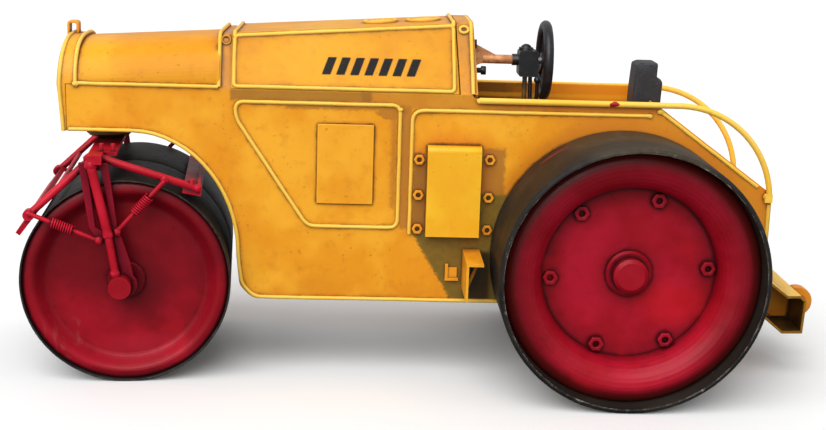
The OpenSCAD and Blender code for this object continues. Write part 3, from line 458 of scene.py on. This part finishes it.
def leatherette():
    """Black grained leatherette: fine pores over a soft, slightly dusty black."""
    s = Shader("black_leather")
    at = s.place()
    cells = s.put("ShaderNodeTexVoronoi", {"Vector": at, "Scale": 1500.0}, feature="DISTANCE_TO_EDGE")
    pores = s.step(cells.outputs["Distance"], 0.02, 0.22)
    dust = s.step(s.noise(160, 5, 0.6), 0.42, 0.75)
    colour = s.mix(s.times(dust, 0.7), (0.030, 0.030, 0.037), (0.080, 0.081, 0.097))
    colour = s.mix(pores, (0.008, 0.008, 0.009), colour)
    roughness = s.plus(s.times(dust, 0.15), 0.50)
    normal = s.bump(pores, 0.35, 0.10 * MM)
    normal = s.bump(s.noise(120, 3, 0.5), 0.25, 0.5 * MM, normal)
    return s.finish(colour, roughness, normal)


def bare_copper():
    """Dull, uneven copper with paler edges."""
    s = Shader("bare_copper")
    tarnish = s.noise(230, 5, 0.65)
    colour = s.mix(s.step(tarnish, 0.40, 0.66), (0.86, 0.43, 0.17), (0.52, 0.20, 0.08))
    colour = s.mix(s.times(s.step(s.edge(0.7 * MM), 0.8, 0.5), 0.5), colour, (0.66, 0.33, 0.17))
    normal = s.bump(s.noise(600, 5, 0.65), 0.6, 0.3 * MM)
    return s.finish(colour, s.plus(s.times(tarnish, 0.3), 0.30), normal, metallic=0.25)


def bare_steel():
    """Turned steel with fine lines."""
    s = Shader("bare_steel")
    lines = s.noise(500, 4, 0.6, stretch=(1, 0.08, 1))
    colour = s.mix(lines, (0.32, 0.31, 0.30), (0.55, 0.54, 0.52))
    normal = s.bump(lines, 0.2, 0.05 * MM)
    return s.finish(colour, s.plus(s.times(lines, 0.2), 0.25), normal, metallic=0.9)


def brown_wash():
    """A thin brown wash in clouds."""
    s = Shader("brown_wash")
    cloud = s.noise(90, 5, 0.6)
    colour = s.mix(s.step(cloud, 0.35, 0.7), (0.055, 0.034, 0.012), (0.20, 0.115, 0.026))
    normal = s.bump(s.noise(500, 4, 0.6), 0.35, 0.2 * MM)
    return s.finish(colour, s.plus(s.times(cloud, 0.2), 0.45), normal)


CRIMSONS = (RASPBERRY, CRIMSON, (0.175, 0.0025, 0.0080), WINE)
YELLOWS = (PALE, YELLOW, ORANGE, BROWN)
GOLDS = ((1.0, 0.64, 0.10), GOLD, YELLOW, ORANGE)
GOLD_LOOK = {"tight": 0.9 * MM, "wide": 2.5 * MM, "deep_share": 0.35, "line_shade_share": 0.7}
RED_LOOK = {"specular": 0.16, "coat": 0.04, "wide": 9 * MM, "tight": 1.8 * MM, "specks": 0.25,
            "deep_share": 0.9}
MATERIALS = {
    "yellow_enamel": enamel("yellow_enamel", *YELLOWS),
    "panel_enamel": enamel("panel_enamel", *YELLOWS, stains_and_light=panel_stains_and_shade),
    "wall_enamel": enamel("wall_enamel", *YELLOWS, stains_and_light=wall_shade),
    "band_enamel": enamel("band_enamel", YELLOW, (0.66, 0.27, 0.020), (0.38, 0.13, 0.014), BROWN,
                          deep_share=0.9),
    "bracket_enamel": enamel("bracket_enamel", *YELLOWS, stains_and_light=bracket_light_and_shade),
    "gold_enamel": enamel("gold_enamel", *GOLDS, **GOLD_LOOK),
    "rail_enamel": enamel("rail_enamel", *GOLDS, stains_and_light=rail_stains, **GOLD_LOOK),
    "hood_enamel": enamel("hood_enamel", (0.86, 0.395, 0.0150), (0.77, 0.305, 0.0080), ORANGE, BROWN,
                          tight=2.3 * MM, specular=0.18, coat=0.0),
    "tail_enamel": enamel("tail_enamel", *YELLOWS, stains_and_light=tail_shade),
    "box_enamel": enamel("box_enamel", (1.0, 0.56, 0.022), (0.95, 0.45, 0.014), YELLOW, BROWN),
    "orange_enamel": enamel("orange_enamel", YELLOW, (0.70, 0.25, 0.022), ORANGE, BROWN),
    "red_enamel": enamel("red_enamel", *CRIMSONS, stains_and_light=red_tone_and_light, **RED_LOOK),
    "drum_enamel": enamel("drum_enamel", (0.360, 0.0050, 0.0160), (0.255, 0.0034, 0.0100),
                          (0.140, 0.0022, 0.0070), WINE, stains_and_light=drum_tone_and_light, **RED_LOOK),
    "rod_enamel": enamel("rod_enamel", (0.62, 0.0110, 0.0330), (0.46, 0.0060, 0.0190),
                         (0.26, 0.0035, 0.0110), WINE, **RED_LOOK),
    # The fork legs' darker red is painted shade.
    "shaded_leg_enamel": enamel("shaded_leg_enamel", (0.36, 0.0060, 0.0260), (0.250, 0.0040, 0.0170),
                         (0.130, 0.0024, 0.0100), WINE, **RED_LOOK),
    "dark_brown_enamel": enamel("dark_brown_enamel", (0.42, 0.22, 0.085), (0.30, 0.150, 0.055),
                                (0.20, 0.090, 0.030), (0.05, 0.024, 0.010)),
    "black_iron": black_iron("black_iron", False),
    "tread_iron": black_iron("tread_iron", True),
    "black_enamel": black_paint("black_enamel", BLACK, (0.022, 0.022, 0.025), 0.22),
    "black_wheel": black_paint("black_wheel", (0.010, 0.010, 0.013), (0.032, 0.032, 0.040), 0.26),
    "mark_paint": mark_paint(),
    "black_leather": leatherette(),
    "bare_copper": bare_copper(),
    "bare_steel": bare_steel(),
    "brown_wash": brown_wash(),
}
SPECIAL = {"side_panel_left": "panel_enamel", "side_panel_right": "wall_enamel",
           "tow_eye": "orange_enamel", "hood_strap": "band_enamel", "firewall": "band_enamel",
           "drawbar": "bracket_enamel", "handrail_left": "rail_enamel", "rear_hoop_left": "tread_iron",
           "rear_hoop_right": "tread_iron", "drum_face_left": "drum_enamel",
           "rear_cover": "tail_enamel", "front_hood": "hood_enamel", "rear_hood": "hood_enamel",
           "fork_leg_left": "shaded_leg_enamel", "fork_leg_right": "shaded_leg_enamel", "toolbox_left": "box_enamel",
           "toolbox_right": "box_enamel", "strut_rods": "rod_enamel", "fork_stays": "rod_enamel",
           "front_scraper": "rod_enamel", "rear_scraper": "rod_enamel", "fork_crown": "rod_enamel"}
SMOOTH_ANGLE = math.radians(38)
BEVELS = {
    "front_cowl": 0.5, "hood_strap": 0.35, "rear_hood": 0.5, "firewall": 0.4, "toolbox_left": 0.5,
    "toolbox_right": 0.5, "access_plate_left": 0.3, "access_plate_right": 0.3, "step_left": 0.25,
    "step_right": 0.25, "drawbar": 0.3, "tow_eye": 0.5, "fork_crown": 0.5, "fork_leg_left": 0.35,
    "fork_leg_right": 0.35, "lifting_loop": 0.25, "side_panel_left": 0.25, "side_panel_right": 0.25,
    "rear_cover": 0.25, "hood_caps": 0.3, "toolbox_nuts": 0.3, "rear_nuts_left": 0.4,
    "rear_nuts_right": 0.4, "steering_bracket": 0.4, "steering_gearbox": 0.35, "front_axle": 0.4,
    "rear_hoop_left": 0.35, "rear_hoop_right": 0.35, "drum_left": 0.35, "drum_right": 0.35,
    "front_scraper": 0.2, "rear_scraper": 0.2, "dash_knobs": 0.25, "control_levers": 0.2,
    "seat_base": 0.4,
}


def dress_frame():
    """Gives every CAD node its material, and the nodes listed in BEVELS a weld and a small bevel."""
    for row in frame["record"]["subparts"]:
        node = frame["nodes"][row["node"]]
        name = SPECIAL.get(row["node"], row["material_slot"])
        node.data.materials.clear()
        node.data.materials.append(MATERIALS[name])
        if row["node"] in BEVELS:
            weld = node.modifiers.new("weld", "WELD")
            weld.merge_threshold = 0.002 * MM
            bevel = node.modifiers.new("edges", "BEVEL")
            bevel.width = BEVELS[row["node"]] * MM
            bevel.segments = 2
            bevel.limit_method = "ANGLE"
            bevel.angle_limit = math.radians(42)
            bevel.harden_normals = False


# ---- mesh helpers ---------------------------------------------------------

def unit(v):
    return v.normalized()


def rounded(points, reach, closed=False, cuts=6):
    """The points as one line with its corners rounded, each round starting reach away."""
    n = len(points)
    line = []
    for i, p in enumerate(points):
        if not closed and i in (0, n - 1):
            line.append(p.copy())
            continue
        a, b = points[(i - 1) % n], points[(i + 1) % n]
        start, end = p + unit(a - p) * reach, p + unit(b - p) * reach
        for k in range(cuts + 1):
            t = k / cuts
            line.append(start * (1 - t) ** 2 + p * 2 * t * (1 - t) + end * t * t)
    return line


def resampled(points, gap, closed=False):
    """The same line with a point about every gap."""
    ring = points + [points[0]] if closed else points
    out = []
    for a, b in zip(ring, ring[1:]):
        steps = max(1, round((b - a).length / gap))
        out += [a.lerp(b, k / steps) for k in range(steps)]
    if not closed:
        out.append(ring[-1].copy())
    return out


def add_tube(bm, points, radius, closed=False, sides=12, wobble=0.0, seed=0):
    """Sweeps a round section along the points. wobble lets a hand-laid wire wander and swell a little."""
    n = len(points)
    rings = []
    side = None
    for i, p in enumerate(points):
        before = points[(i - 1) % n] if closed or i else points[0]
        after = points[(i + 1) % n] if closed or i < n - 1 else points[-1]
        along = unit(after - before)
        if side is None:
            side = unit(along.orthogonal())
        side = unit(side - along * side.dot(along))
        up = along.cross(side)
        drift = noise.noise_vector(p * 110 + Vector((seed, 0, 0))) * wobble
        swell = radius * (1 + 0.10 * noise.noise(p * 260 + Vector((0, seed, 0))) * (wobble > 0))
        rings.append([bm.verts.new(p + drift + (side * math.cos(a) + up * math.sin(a)) * swell)
                      for a in (2 * math.pi * k / sides for k in range(sides))])
    for i in range(n if closed else n - 1):
        a, b = rings[i], rings[(i + 1) % n]
        for k in range(sides):
            bm.faces.new((a[k], a[(k + 1) % sides], b[(k + 1) % sides], b[k]))
    if not closed:
        bm.faces.new(rings[0])
        bm.faces.new(list(reversed(rings[-1])))


def add_lump(bm, centre, size, seed=0):
    """A blob of solder: a squashed ball with an uneven skin."""
    made = bmesh.ops.create_icosphere(bm, subdivisions=3, radius=1.0)
    for v in made["verts"]:
        skin = 1 + 0.22 * noise.noise(v.co * 1.7 + Vector((seed, seed * 0.7, 0)))
        v.co = Vector(centre) + Vector([v.co[k] * size[k] * skin for k in range(3)])


def piece(name, bm, material, body, replaces=()):
    """Makes the object, smooth, in its material, riding on its body."""
    bmesh.ops.recalc_face_normals(bm, faces=bm.faces)
    mesh = bpy.data.meshes.new(name)
    bm.to_mesh(mesh)
    bm.free()
    mesh.polygons.foreach_set("use_smooth", [True] * len(mesh.polygons))
    mesh.set_sharp_from_angle(angle=SMOOTH_ANGLE)
    mesh.materials.append(MATERIALS[material])
    obj = bpy.data.objects.new(name, mesh)
    bpy.context.scene.collection.objects.link(obj)
    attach(obj, body)
    if replaces:
        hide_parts(*replaces)
    return obj


def mirrored(points):
    """The points on the other side of the middle."""
    return [Vector((p.x, -p.y, p.z)) for p in points]


# ---- wires on the panels and hoods ----------------------------------------

def at_side(x, z, out=0.0):
    """A point on the left panel's outer face."""
    return Vector((x, SIDE_Y - out, z))


def arch_points():
    """The wheel arch, from its highest point round to the rear, a wire's radius outside the edge."""
    rise = NOSE_Z - ARCH_CENTRE.z
    wide, high = ARCH_A + WIRE_R, rise + WIRE_R
    return [at_side(ARCH_CENTRE.x + wide * math.cos(a), ARCH_CENTRE.z + high * math.sin(a))
            for a in (math.radians(90 - 6 * k) for k in range(16))]


def wire_piece(name, lines, body, node, mirror):
    """One object of several wires; mirror puts it on the right side."""
    bm = bmesh.new()
    for k, (points, closed) in enumerate(lines):
        line = resampled(points, WIRE_GAP, closed)
        add_tube(bm, mirrored(line) if mirror else line, WIRE_R, closed, wobble=WIRE_WOBBLE, seed=3 * k + 1)
    return piece(name, bm, "gold_enamel", body, replaces=(node,))


def edge_wires(side):
    """The beads along the arch and belly, down the sloping rear edge, and down the tail."""
    r = WIRE_R
    lower = [at_side(NOSE_BACK + r, NOSE_Z + r), *arch_points()]
    lower += rounded([lower[-1], at_side(ARCH_FOOT.x + r, ARCH_FOOT.z + r),
                      at_side(BELLY_CORNER.x + r, BELLY_Z + r), at_side(TAIL_X, BELLY_Z + r)], 3 * MM)[1:]
    slope = [at_side(SLOPE_TOP.x + 1 * MM, SLOPE_TOP.z - 2.2 * MM),
             at_side(SLOPE_END.x - 5.4 * MM, SLOPE_END.z + 2.4 * MM)]
    tail = [at_side(TAIL_X - 1 * MM, SLOPE_END.z - 4.8 * MM), at_side(TAIL_X - 1 * MM, BELLY_Z + 2 * MM)]
    wire_piece("edge_wire_" + side, [(lower, False), (slope, False), (tail, False)], "body",
               "edge_trim_" + side, side == "right")


def side_wires(side):
    """The front frame, with its front side slanting down to the rear, and the long angle behind it."""
    front, rear = FRAME_X
    low, top = FRAME_Z
    loop = rounded([at_side(front, top), at_side(rear, top), at_side(rear, low),
                    at_side(FRAME_CUT[0], low), at_side(front, FRAME_CUT[1])], 3.4 * MM, closed=True)
    bend = rounded([at_side(ANGLE_X[0], ANGLE_Z[0]), at_side(ANGLE_X[0], ANGLE_Z[1]),
                    at_side(ANGLE_X[1], ANGLE_Z[1])], 5 * MM)
    wire_piece("side_wire_" + side, [(loop, True), (bend, False)], "body", "side_trim_" + side,
               side == "right")


def hood_top(x):
    """Height of the rear hood's sloping top at x."""
    share = (x - STRAP_LO.x) / (HOOD_END_X - STRAP_LO.x)
    return MID_TOP + (REAR_TOP - MID_TOP) * share


def lean_at(z):
    """How far the rear hood's side leans in at height z."""
    return HOOD_LEAN * (z - HOOD_Z) / (REAR_TOP - HOOD_Z)


def on_hood(x, z, out=0.0):
    """A point on the rear hood's leaning left side."""
    return Vector((x, SIDE_Y + lean_at(z) - out, z))


def add_wire(bm, line, seed, closed=False, both_sides=True):
    """Adds the line, and its twin on the other side, with a wander of their own by seed."""
    fine = resampled(line, WIRE_GAP, closed)
    add_tube(bm, fine, WIRE_R, closed, wobble=WIRE_WOBBLE, seed=seed)
    if both_sides:
        add_tube(bm, mirrored(fine), WIRE_R, closed, wobble=WIRE_WOBBLE, seed=seed + 40)


def squared_hoop(x_low, x_top, z_top, half, foot, bend):
    """A line over the squared hood: up one leaning side, across the top, down the other."""
    inner = half - lean_at(z_top)
    outer = half - lean_at(foot)
    return rounded([Vector((x_low, -outer, foot)), Vector((x_top, -inner, z_top)),
                    Vector((x_top, inner, z_top)), Vector((x_low, outer, foot))], bend)


def arched_hoop(x_at, half, z0, z1, foot):
    """A line over the rounded nose. x_at gives the place along the length for each height."""
    line = [Vector((x_at(foot), -half, foot))]
    for k in range(31):
        a = math.pi * (1 - k / 30)
        y = half * math.copysign(abs(math.cos(a)) ** 0.72, math.cos(a))
        z = z0 + (z1 - z0) * max(math.sin(a), 0) ** 0.78
        if z > foot + 1 * MM:
            line.append(Vector((x_at(z), y, z)))
    return line + [Vector((x_at(foot), half, foot))]


def nose_front(z):
    """The front edge of the cowl bulges forward up to the hood line and falls back a little above it."""
    furthest = COWL_LO.x + 1 * MM
    if z < HOOD_Z:
        return NOSE_FOOT_X + (furthest - NOSE_FOOT_X) * (z - NOSE_Z) / (HOOD_Z - NOSE_Z)
    return furthest + 0.9 * MM * min((z - HOOD_Z) / (14 * MM), 1)


def hood_wires():
    """The rear hood's side frames and its two wires across, and the line under the front hood."""
    bm = bmesh.new()
    x0, x1 = STRAP_HI.x + 1.2 * MM, HOOD_WIRE_X
    foot = HOOD_Z + 1 * MM
    high0, high1 = hood_top(x0) - 1.2 * MM, hood_top(x1) - 1.2 * MM
    loop = [on_hood(x0, high0), on_hood(x0, foot), on_hood(x1, foot), on_hood(x1 - HOOD_WIRE_LEAN, high1)]
    add_wire(bm, rounded(loop, 1.6 * MM, closed=True), seed=20, closed=True)
    add_wire(bm, [at_side(COWL_HI.x + 0.6 * MM, HOOD_Z + 0.6 * MM),
                  at_side(STRAP_LO.x - 0.4 * MM, HOOD_Z + 0.6 * MM)], seed=21)
    out = HALF + 0.2 * MM
    for k, (x, top) in enumerate(((x0, hood_top(x0)), (x1 - HOOD_WIRE_LEAN, hood_top(x1)))):
        height = top + 0.3 * MM
        inner = out - lean_at(height)
        foot_y, foot_z = inner + 0.6 * MM, height - 1.8 * MM
        across = rounded([Vector((x, -foot_y, foot_z)), Vector((x, -inner, height)),
                          Vector((x, inner, height)), Vector((x, foot_y, foot_z))], 1.2 * MM)
        add_wire(bm, across, seed=22 + k, both_sides=False)
    piece("hood_wires", bm, "gold_enamel", "body", replaces=("hood_trim",))


def band_wires():
    """Wires round the cowl, along the strap, and along the rear edge of the band over the cab's front,
    with two flat rings on that band."""
    bm = bmesh.new()
    base = HOOD_Z - 3 * MM
    top = COWL_HI.z
    front = arched_hoop(lambda z: nose_front(z) + 0.1 * MM, HALF, base, top, NOSE_Z + 0.4 * MM)
    add_wire(bm, front, seed=60, closed=True, both_sides=False)
    rear = arched_hoop(lambda z: COWL_HI.x - 0.4 * MM, HALF, base, top, HOOD_Z + 0.6 * MM)
    add_wire(bm, rear, seed=61, both_sides=False)
    strap_x = STRAP_LO.x - 0.2 * MM
    strap = squared_hoop(strap_x, strap_x, MID_TOP + 0.1 * MM, HALF + 0.1 * MM, HOOD_Z + 0.6 * MM, 3 * MM)
    add_wire(bm, strap, seed=62, both_sides=False)
    cab = squared_hoop(*CAB_WIRE_X, FIREWALL_HI.z - 0.5 * MM, HALF + 0.2 * MM, HOOD_Z + 0.2 * MM, 3.2 * MM)
    add_wire(bm, cab, seed=63, both_sides=False)
    centre = on_hood(RING_X, REAR_TOP - RING_DROP, 0.2 * MM)
    slope = unit(Vector((0, lean_at(HOOD_Z + MM) / MM, 1)))
    half_x, half_z = RING_HALF
    ring = [centre + Vector((half_x * math.cos(a), 0, 0)) + slope * half_z * math.sin(a)
            for a in (math.pi * k / 10 for k in range(20))]
    for sign in (-1, 1):
        add_tube(bm, ring if sign < 0 else mirrored(ring), 0.6 * MM, closed=True, sides=10)
    piece("band_wires", bm, "gold_enamel", "body")


def solder_lumps():
    """Uneven lumps of solder where rods and wires end. The spots are x, y, z and radius, in
    millimetres; those of the fork are given on the straight fork."""
    bm = bmesh.new()
    spots = [(-137.3, 48.4, 89.6, 2.4), (-131.1, 48.4, 62.0, 2.1), (-128.6, 48.4, 46.4, 1.9),
             (-134.6, 46.6, 59.4, 1.7), (-128.0, 46.6, 62.6, 1.6), (-161.2, 44.8, 69.4, 2.0),
             (-109.4, 45.0, 83.4, 1.7), (-96.8, 44.2, 79.8, 1.7), (-138.2, 44.2, 91.0, 2.2)]
    for k, (x, y, z, r) in enumerate(spots):
        for sign in (-1, 1):
            add_lump(bm, on_fork(x, sign * y, z), Vector((r, r * 0.85, r)) * MM, seed=2.3 * k + sign)
    piece("fork_solder", bm, "rod_enamel", "fork")
    bm = bmesh.new()
    spots = [(17.2, -28.1, 115.3, 1.25), (135.9, -28.2, 79.2, 1.5), (89.8, -27.2, 112.6, 1.1),
             (-14.5, -27.3, 110.8, 0.9), (-142.6, -27.4, 117.9, 1.1), (85.6, -27.3, 110.8, 0.9)]
    for k, (x, y, z, r) in enumerate(spots):
        for sign in (1, -1):
            size = Vector((r * 1.2, r * 0.8, r)) * MM
            add_lump(bm, Vector((x, sign * y, z)) * MM, size, seed=1.9 * k + sign)
    piece("body_solder", bm, "gold_enamel", "body")


# ---- springs, seat, marks --------------------------------------------------

def on_fork(x, y, z):
    """A point given on the straight fork, in millimetres, turned with it to its rest angle."""
    turn = Matrix.Rotation(FORK_TURN, 3, "Z")
    return KINGPIN + turn @ (Vector((x, y, z)) * MM - KINGPIN)


# Ends of the struts in X and Z, and their distance from the middle, in mm on the straight fork
STRUTS = (((-161.3, 69.9), (-134.2, 59.0)), ((-109.3, 83.2), (-127.9, 63.0)))
STRUT_Y = 46.2


def springs():
    """A coil round each of the four struts, a little nearer to its outer end."""
    bm = bmesh.new()
    turns, pitch, mean, wire = 9, 0.95 * MM, 1.75 * MM, 0.36 * MM
    per_turn = 16
    for side in (-1, 1):
        for a, b in STRUTS:
            start, end = on_fork(a[0], side * STRUT_Y, a[1]), on_fork(b[0], side * STRUT_Y, b[1])
            along = unit(end - start)
            across = unit(along.orthogonal())
            other = along.cross(across)
            base = start + along * ((end - start).length - turns * pitch) * 0.45
            line = []
            for k in range(turns * per_turn + 1):
                angle = 2 * math.pi * k / per_turn
                line.append(base + along * (pitch * k / per_turn)
                            + (across * math.cos(angle) + other * math.sin(angle)) * mean)
            add_tube(bm, line, wire, sides=8)
    piece("spring_coils", bm, "rod_enamel", "fork", replaces=("strut_springs",))


# Steps across a pad from one side to the other, and how far each draws in, in mm
PAD_RIM = ((-1, 0.9), (-0.97, 0.25), (-0.86, 0), (-0.4, 0), (0.4, 0), (0.86, 0), (0.97, 0.25), (1, 0.9))


def pad(name, outline, half, corner):
    """A padded slab: the outline in X and Z with tight corners, extruded across, with rounded rims."""
    flat = resampled(rounded([Vector((x, 0, z)) for x, z in outline], corner, closed=True, cuts=3),
                     2.2 * MM, closed=True)
    centre = sum(flat, Vector()) / len(flat)
    bm = bmesh.new()
    rings = []
    for t, inset in PAD_RIM:
        ring = []
        for p in flat:
            q = p + unit(centre - p) * inset * MM
            ring.append(bm.verts.new((q.x, half * t, q.z)))
        rings.append(ring)
    n = len(flat)
    for a, b in zip(rings, rings[1:]):
        for k in range(n):
            bm.faces.new((a[k], a[(k + 1) % n], b[(k + 1) % n], b[k]))
    bm.faces.new(list(reversed(rings[0])))
    bm.faces.new(rings[-1])
    obj = piece(name, bm, "black_leather", "body")
    soft = obj.modifiers.new("soft", "SUBSURF")
    soft.levels = soft.render_levels = 2
    return obj


def seat():
    """A low cushion and a narrow tall back with a step in its rear face."""
    lo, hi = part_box("seat")
    cushion_top = lo.z + 5 * MM
    cushion = [(lo.x, lo.z), (lo.x, cushion_top - 0.6 * MM), (lo.x + 4 * MM, cushion_top),
               (lo.x + 17.4 * MM, cushion_top), (lo.x + 17.4 * MM, lo.z)]
    back = [(lo.x + 17.6 * MM, lo.z + 0.2 * MM), (lo.x + 17.8 * MM, hi.z - 12 * MM),
            (lo.x + 18.7 * MM, hi.z - 0.9 * MM), (lo.x + 20.6 * MM, hi.z), (hi.x - 2.4 * MM, hi.z),
            (hi.x - 2.6 * MM, hi.z - 6.2 * MM), (hi.x - 0.9 * MM, hi.z - 6.5 * MM),
            (hi.x, hi.z - 8 * MM), (hi.x - 0.4 * MM, hi.z - 17.8 * MM),
            (lo.x + 23.4 * MM, hi.z - 17.9 * MM), (lo.x + 23.4 * MM, lo.z + 0.2 * MM)]
    half = (hi.y - lo.y) / 2
    for name, outline in (("seat_cushion", cushion), ("seat_back", back)):
        obj = pad(name, outline, half, 0.7 * MM)
        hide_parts("seat")


def hood_marks():
    """A plain row of slanted bars on each side of the rear hood, where the real toy has its lettering."""
    bars, first, step = 7, -46 * MM, 5.6 * MM
    slant, wide, sunk, thick = 2.4 * MM, 3.2 * MM, 0.05 * MM, 0.12 * MM
    z0, z1 = 124 * MM, 130.5 * MM
    for side, sign in (("left", -1), ("right", 1)):
        bm = bmesh.new()
        for k in range(bars):
            x = first + k * step
            corners = [(x, z0), (x + wide, z0), (x + wide + slant, z1), (x + slant, z1)]
            low = [bm.verts.new((cx, sign * (-on_hood(cx, cz).y - sunk), cz)) for cx, cz in corners]
            top = [bm.verts.new((cx, sign * (-on_hood(cx, cz).y + thick), cz)) for cx, cz in corners]
            bm.faces.new(low)
            bm.faces.new(top)
            for i in range(4):
                bm.faces.new((low[i], low[(i + 1) % 4], top[(i + 1) % 4], top[i]))
        piece("hood_mark_" + side, bm, "mark_paint", "body")


# ---- floor, light, camera ---------------------------------------------------

def stage():
    """A pale floor that does not light the object from below, and a sky brighter above than below."""
    bpy.ops.mesh.primitive_plane_add(size=14)
    floor = bpy.context.object
    floor.name = "floor"
    s = Shader("floor")
    s.finish(s.mix(s.noise(3, 2), (0.93, 0.93, 0.93), (0.95, 0.95, 0.95)), 0.9,
             s.bump(s.noise(40, 2), 0.02, 0.1 * MM), specular=0.1)
    floor.data.materials.append(s.material)
    floor.visible_diffuse = False
    floor.visible_glossy = False
    world = bpy.data.worlds.new("studio")
    bpy.context.scene.world = world
    world.use_nodes = True
    tree = world.node_tree
    coords = tree.nodes.new("ShaderNodeTexCoord")
    parts = tree.nodes.new("ShaderNodeSeparateXYZ")
    tree.links.new(coords.outputs["Generated"], parts.inputs[0])
    ramp = tree.nodes.new("ShaderNodeMapRange")
    for socket, value in (("From Min", -0.5), ("From Max", 0.5), ("To Min", SKY[0]), ("To Max", SKY[1])):
        ramp.inputs[socket].default_value = value
    tree.links.new(parts.outputs[2], ramp.inputs["Value"])
    tree.links.new(ramp.outputs["Result"], tree.nodes["Background"].inputs["Strength"])
    tree.nodes["Background"].inputs["Color"].default_value = (1, 1, 1, 1)


def sun(aim_from, strength, spread):
    """A sun in the direction aim_from. A wide spread, in degrees, softens its shadows."""
    lamp = bpy.data.lights.new("sun", "SUN")
    lamp.energy = strength
    lamp.angle = math.radians(spread)
    obj = bpy.data.objects.new("sun", lamp)
    obj.rotation_euler = (-Vector(aim_from)).to_track_quat("-Z", "Y").to_euler()
    bpy.context.scene.collection.objects.link(obj)


def softbox(name, place, aim, size, power):
    """A rectangular area light at place, turned towards aim."""
    lamp = bpy.data.lights.new(name, "AREA")
    lamp.shape = "RECTANGLE"
    lamp.size, lamp.size_y = size
    lamp.energy = power
    obj = bpy.data.objects.new(name, lamp)
    obj.location = place
    obj.rotation_euler = (Vector(aim) - Vector(place)).to_track_quat("-Z", "Y").to_euler()
    bpy.context.scene.collection.objects.link(obj)


def camera():
    """The camera stands on the near side, a little above and a little forward, with a slight roll."""
    yaw, pitch, roll = (math.radians(a) for a in CAMERA_TURN)
    ahead = Vector((-math.sin(yaw) * math.cos(pitch), math.cos(yaw) * math.cos(pitch), -math.sin(pitch)))
    level = Vector((math.cos(yaw), math.sin(yaw), 0))
    upright = level.cross(ahead)
    right = level * math.cos(roll) + upright * math.sin(roll)
    up = upright * math.cos(roll) - level * math.sin(roll)
    data = bpy.data.cameras.new("camera")
    data.sensor_width = 36
    data.sensor_fit = "HORIZONTAL"
    data.lens = CAMERA_LENS
    data.clip_start = 0.01
    obj = bpy.data.objects.new("camera", data)
    turn = Matrix((right, up, -ahead)).transposed().to_4x4()
    obj.matrix_world = Matrix.Translation(CAMERA_PLACE) @ turn
    bpy.context.scene.collection.objects.link(obj)
    bpy.context.scene.camera = obj


dress_frame()
for side in ("left", "right"):
    edge_wires(side)
    side_wires(side)
hood_wires()
band_wires()
solder_lumps()
springs()
seat()
hood_marks()
stage()
sun(aim_from=(-0.28, -0.62, 0.70), strength=2.2, spread=60)
softbox("front", place=(-0.5, -1.5, 0.6), aim=(0, 0, 0.08), size=(1.2, 1.0), power=4)
camera()
bpy.context.scene.view_settings.view_transform = "Standard"
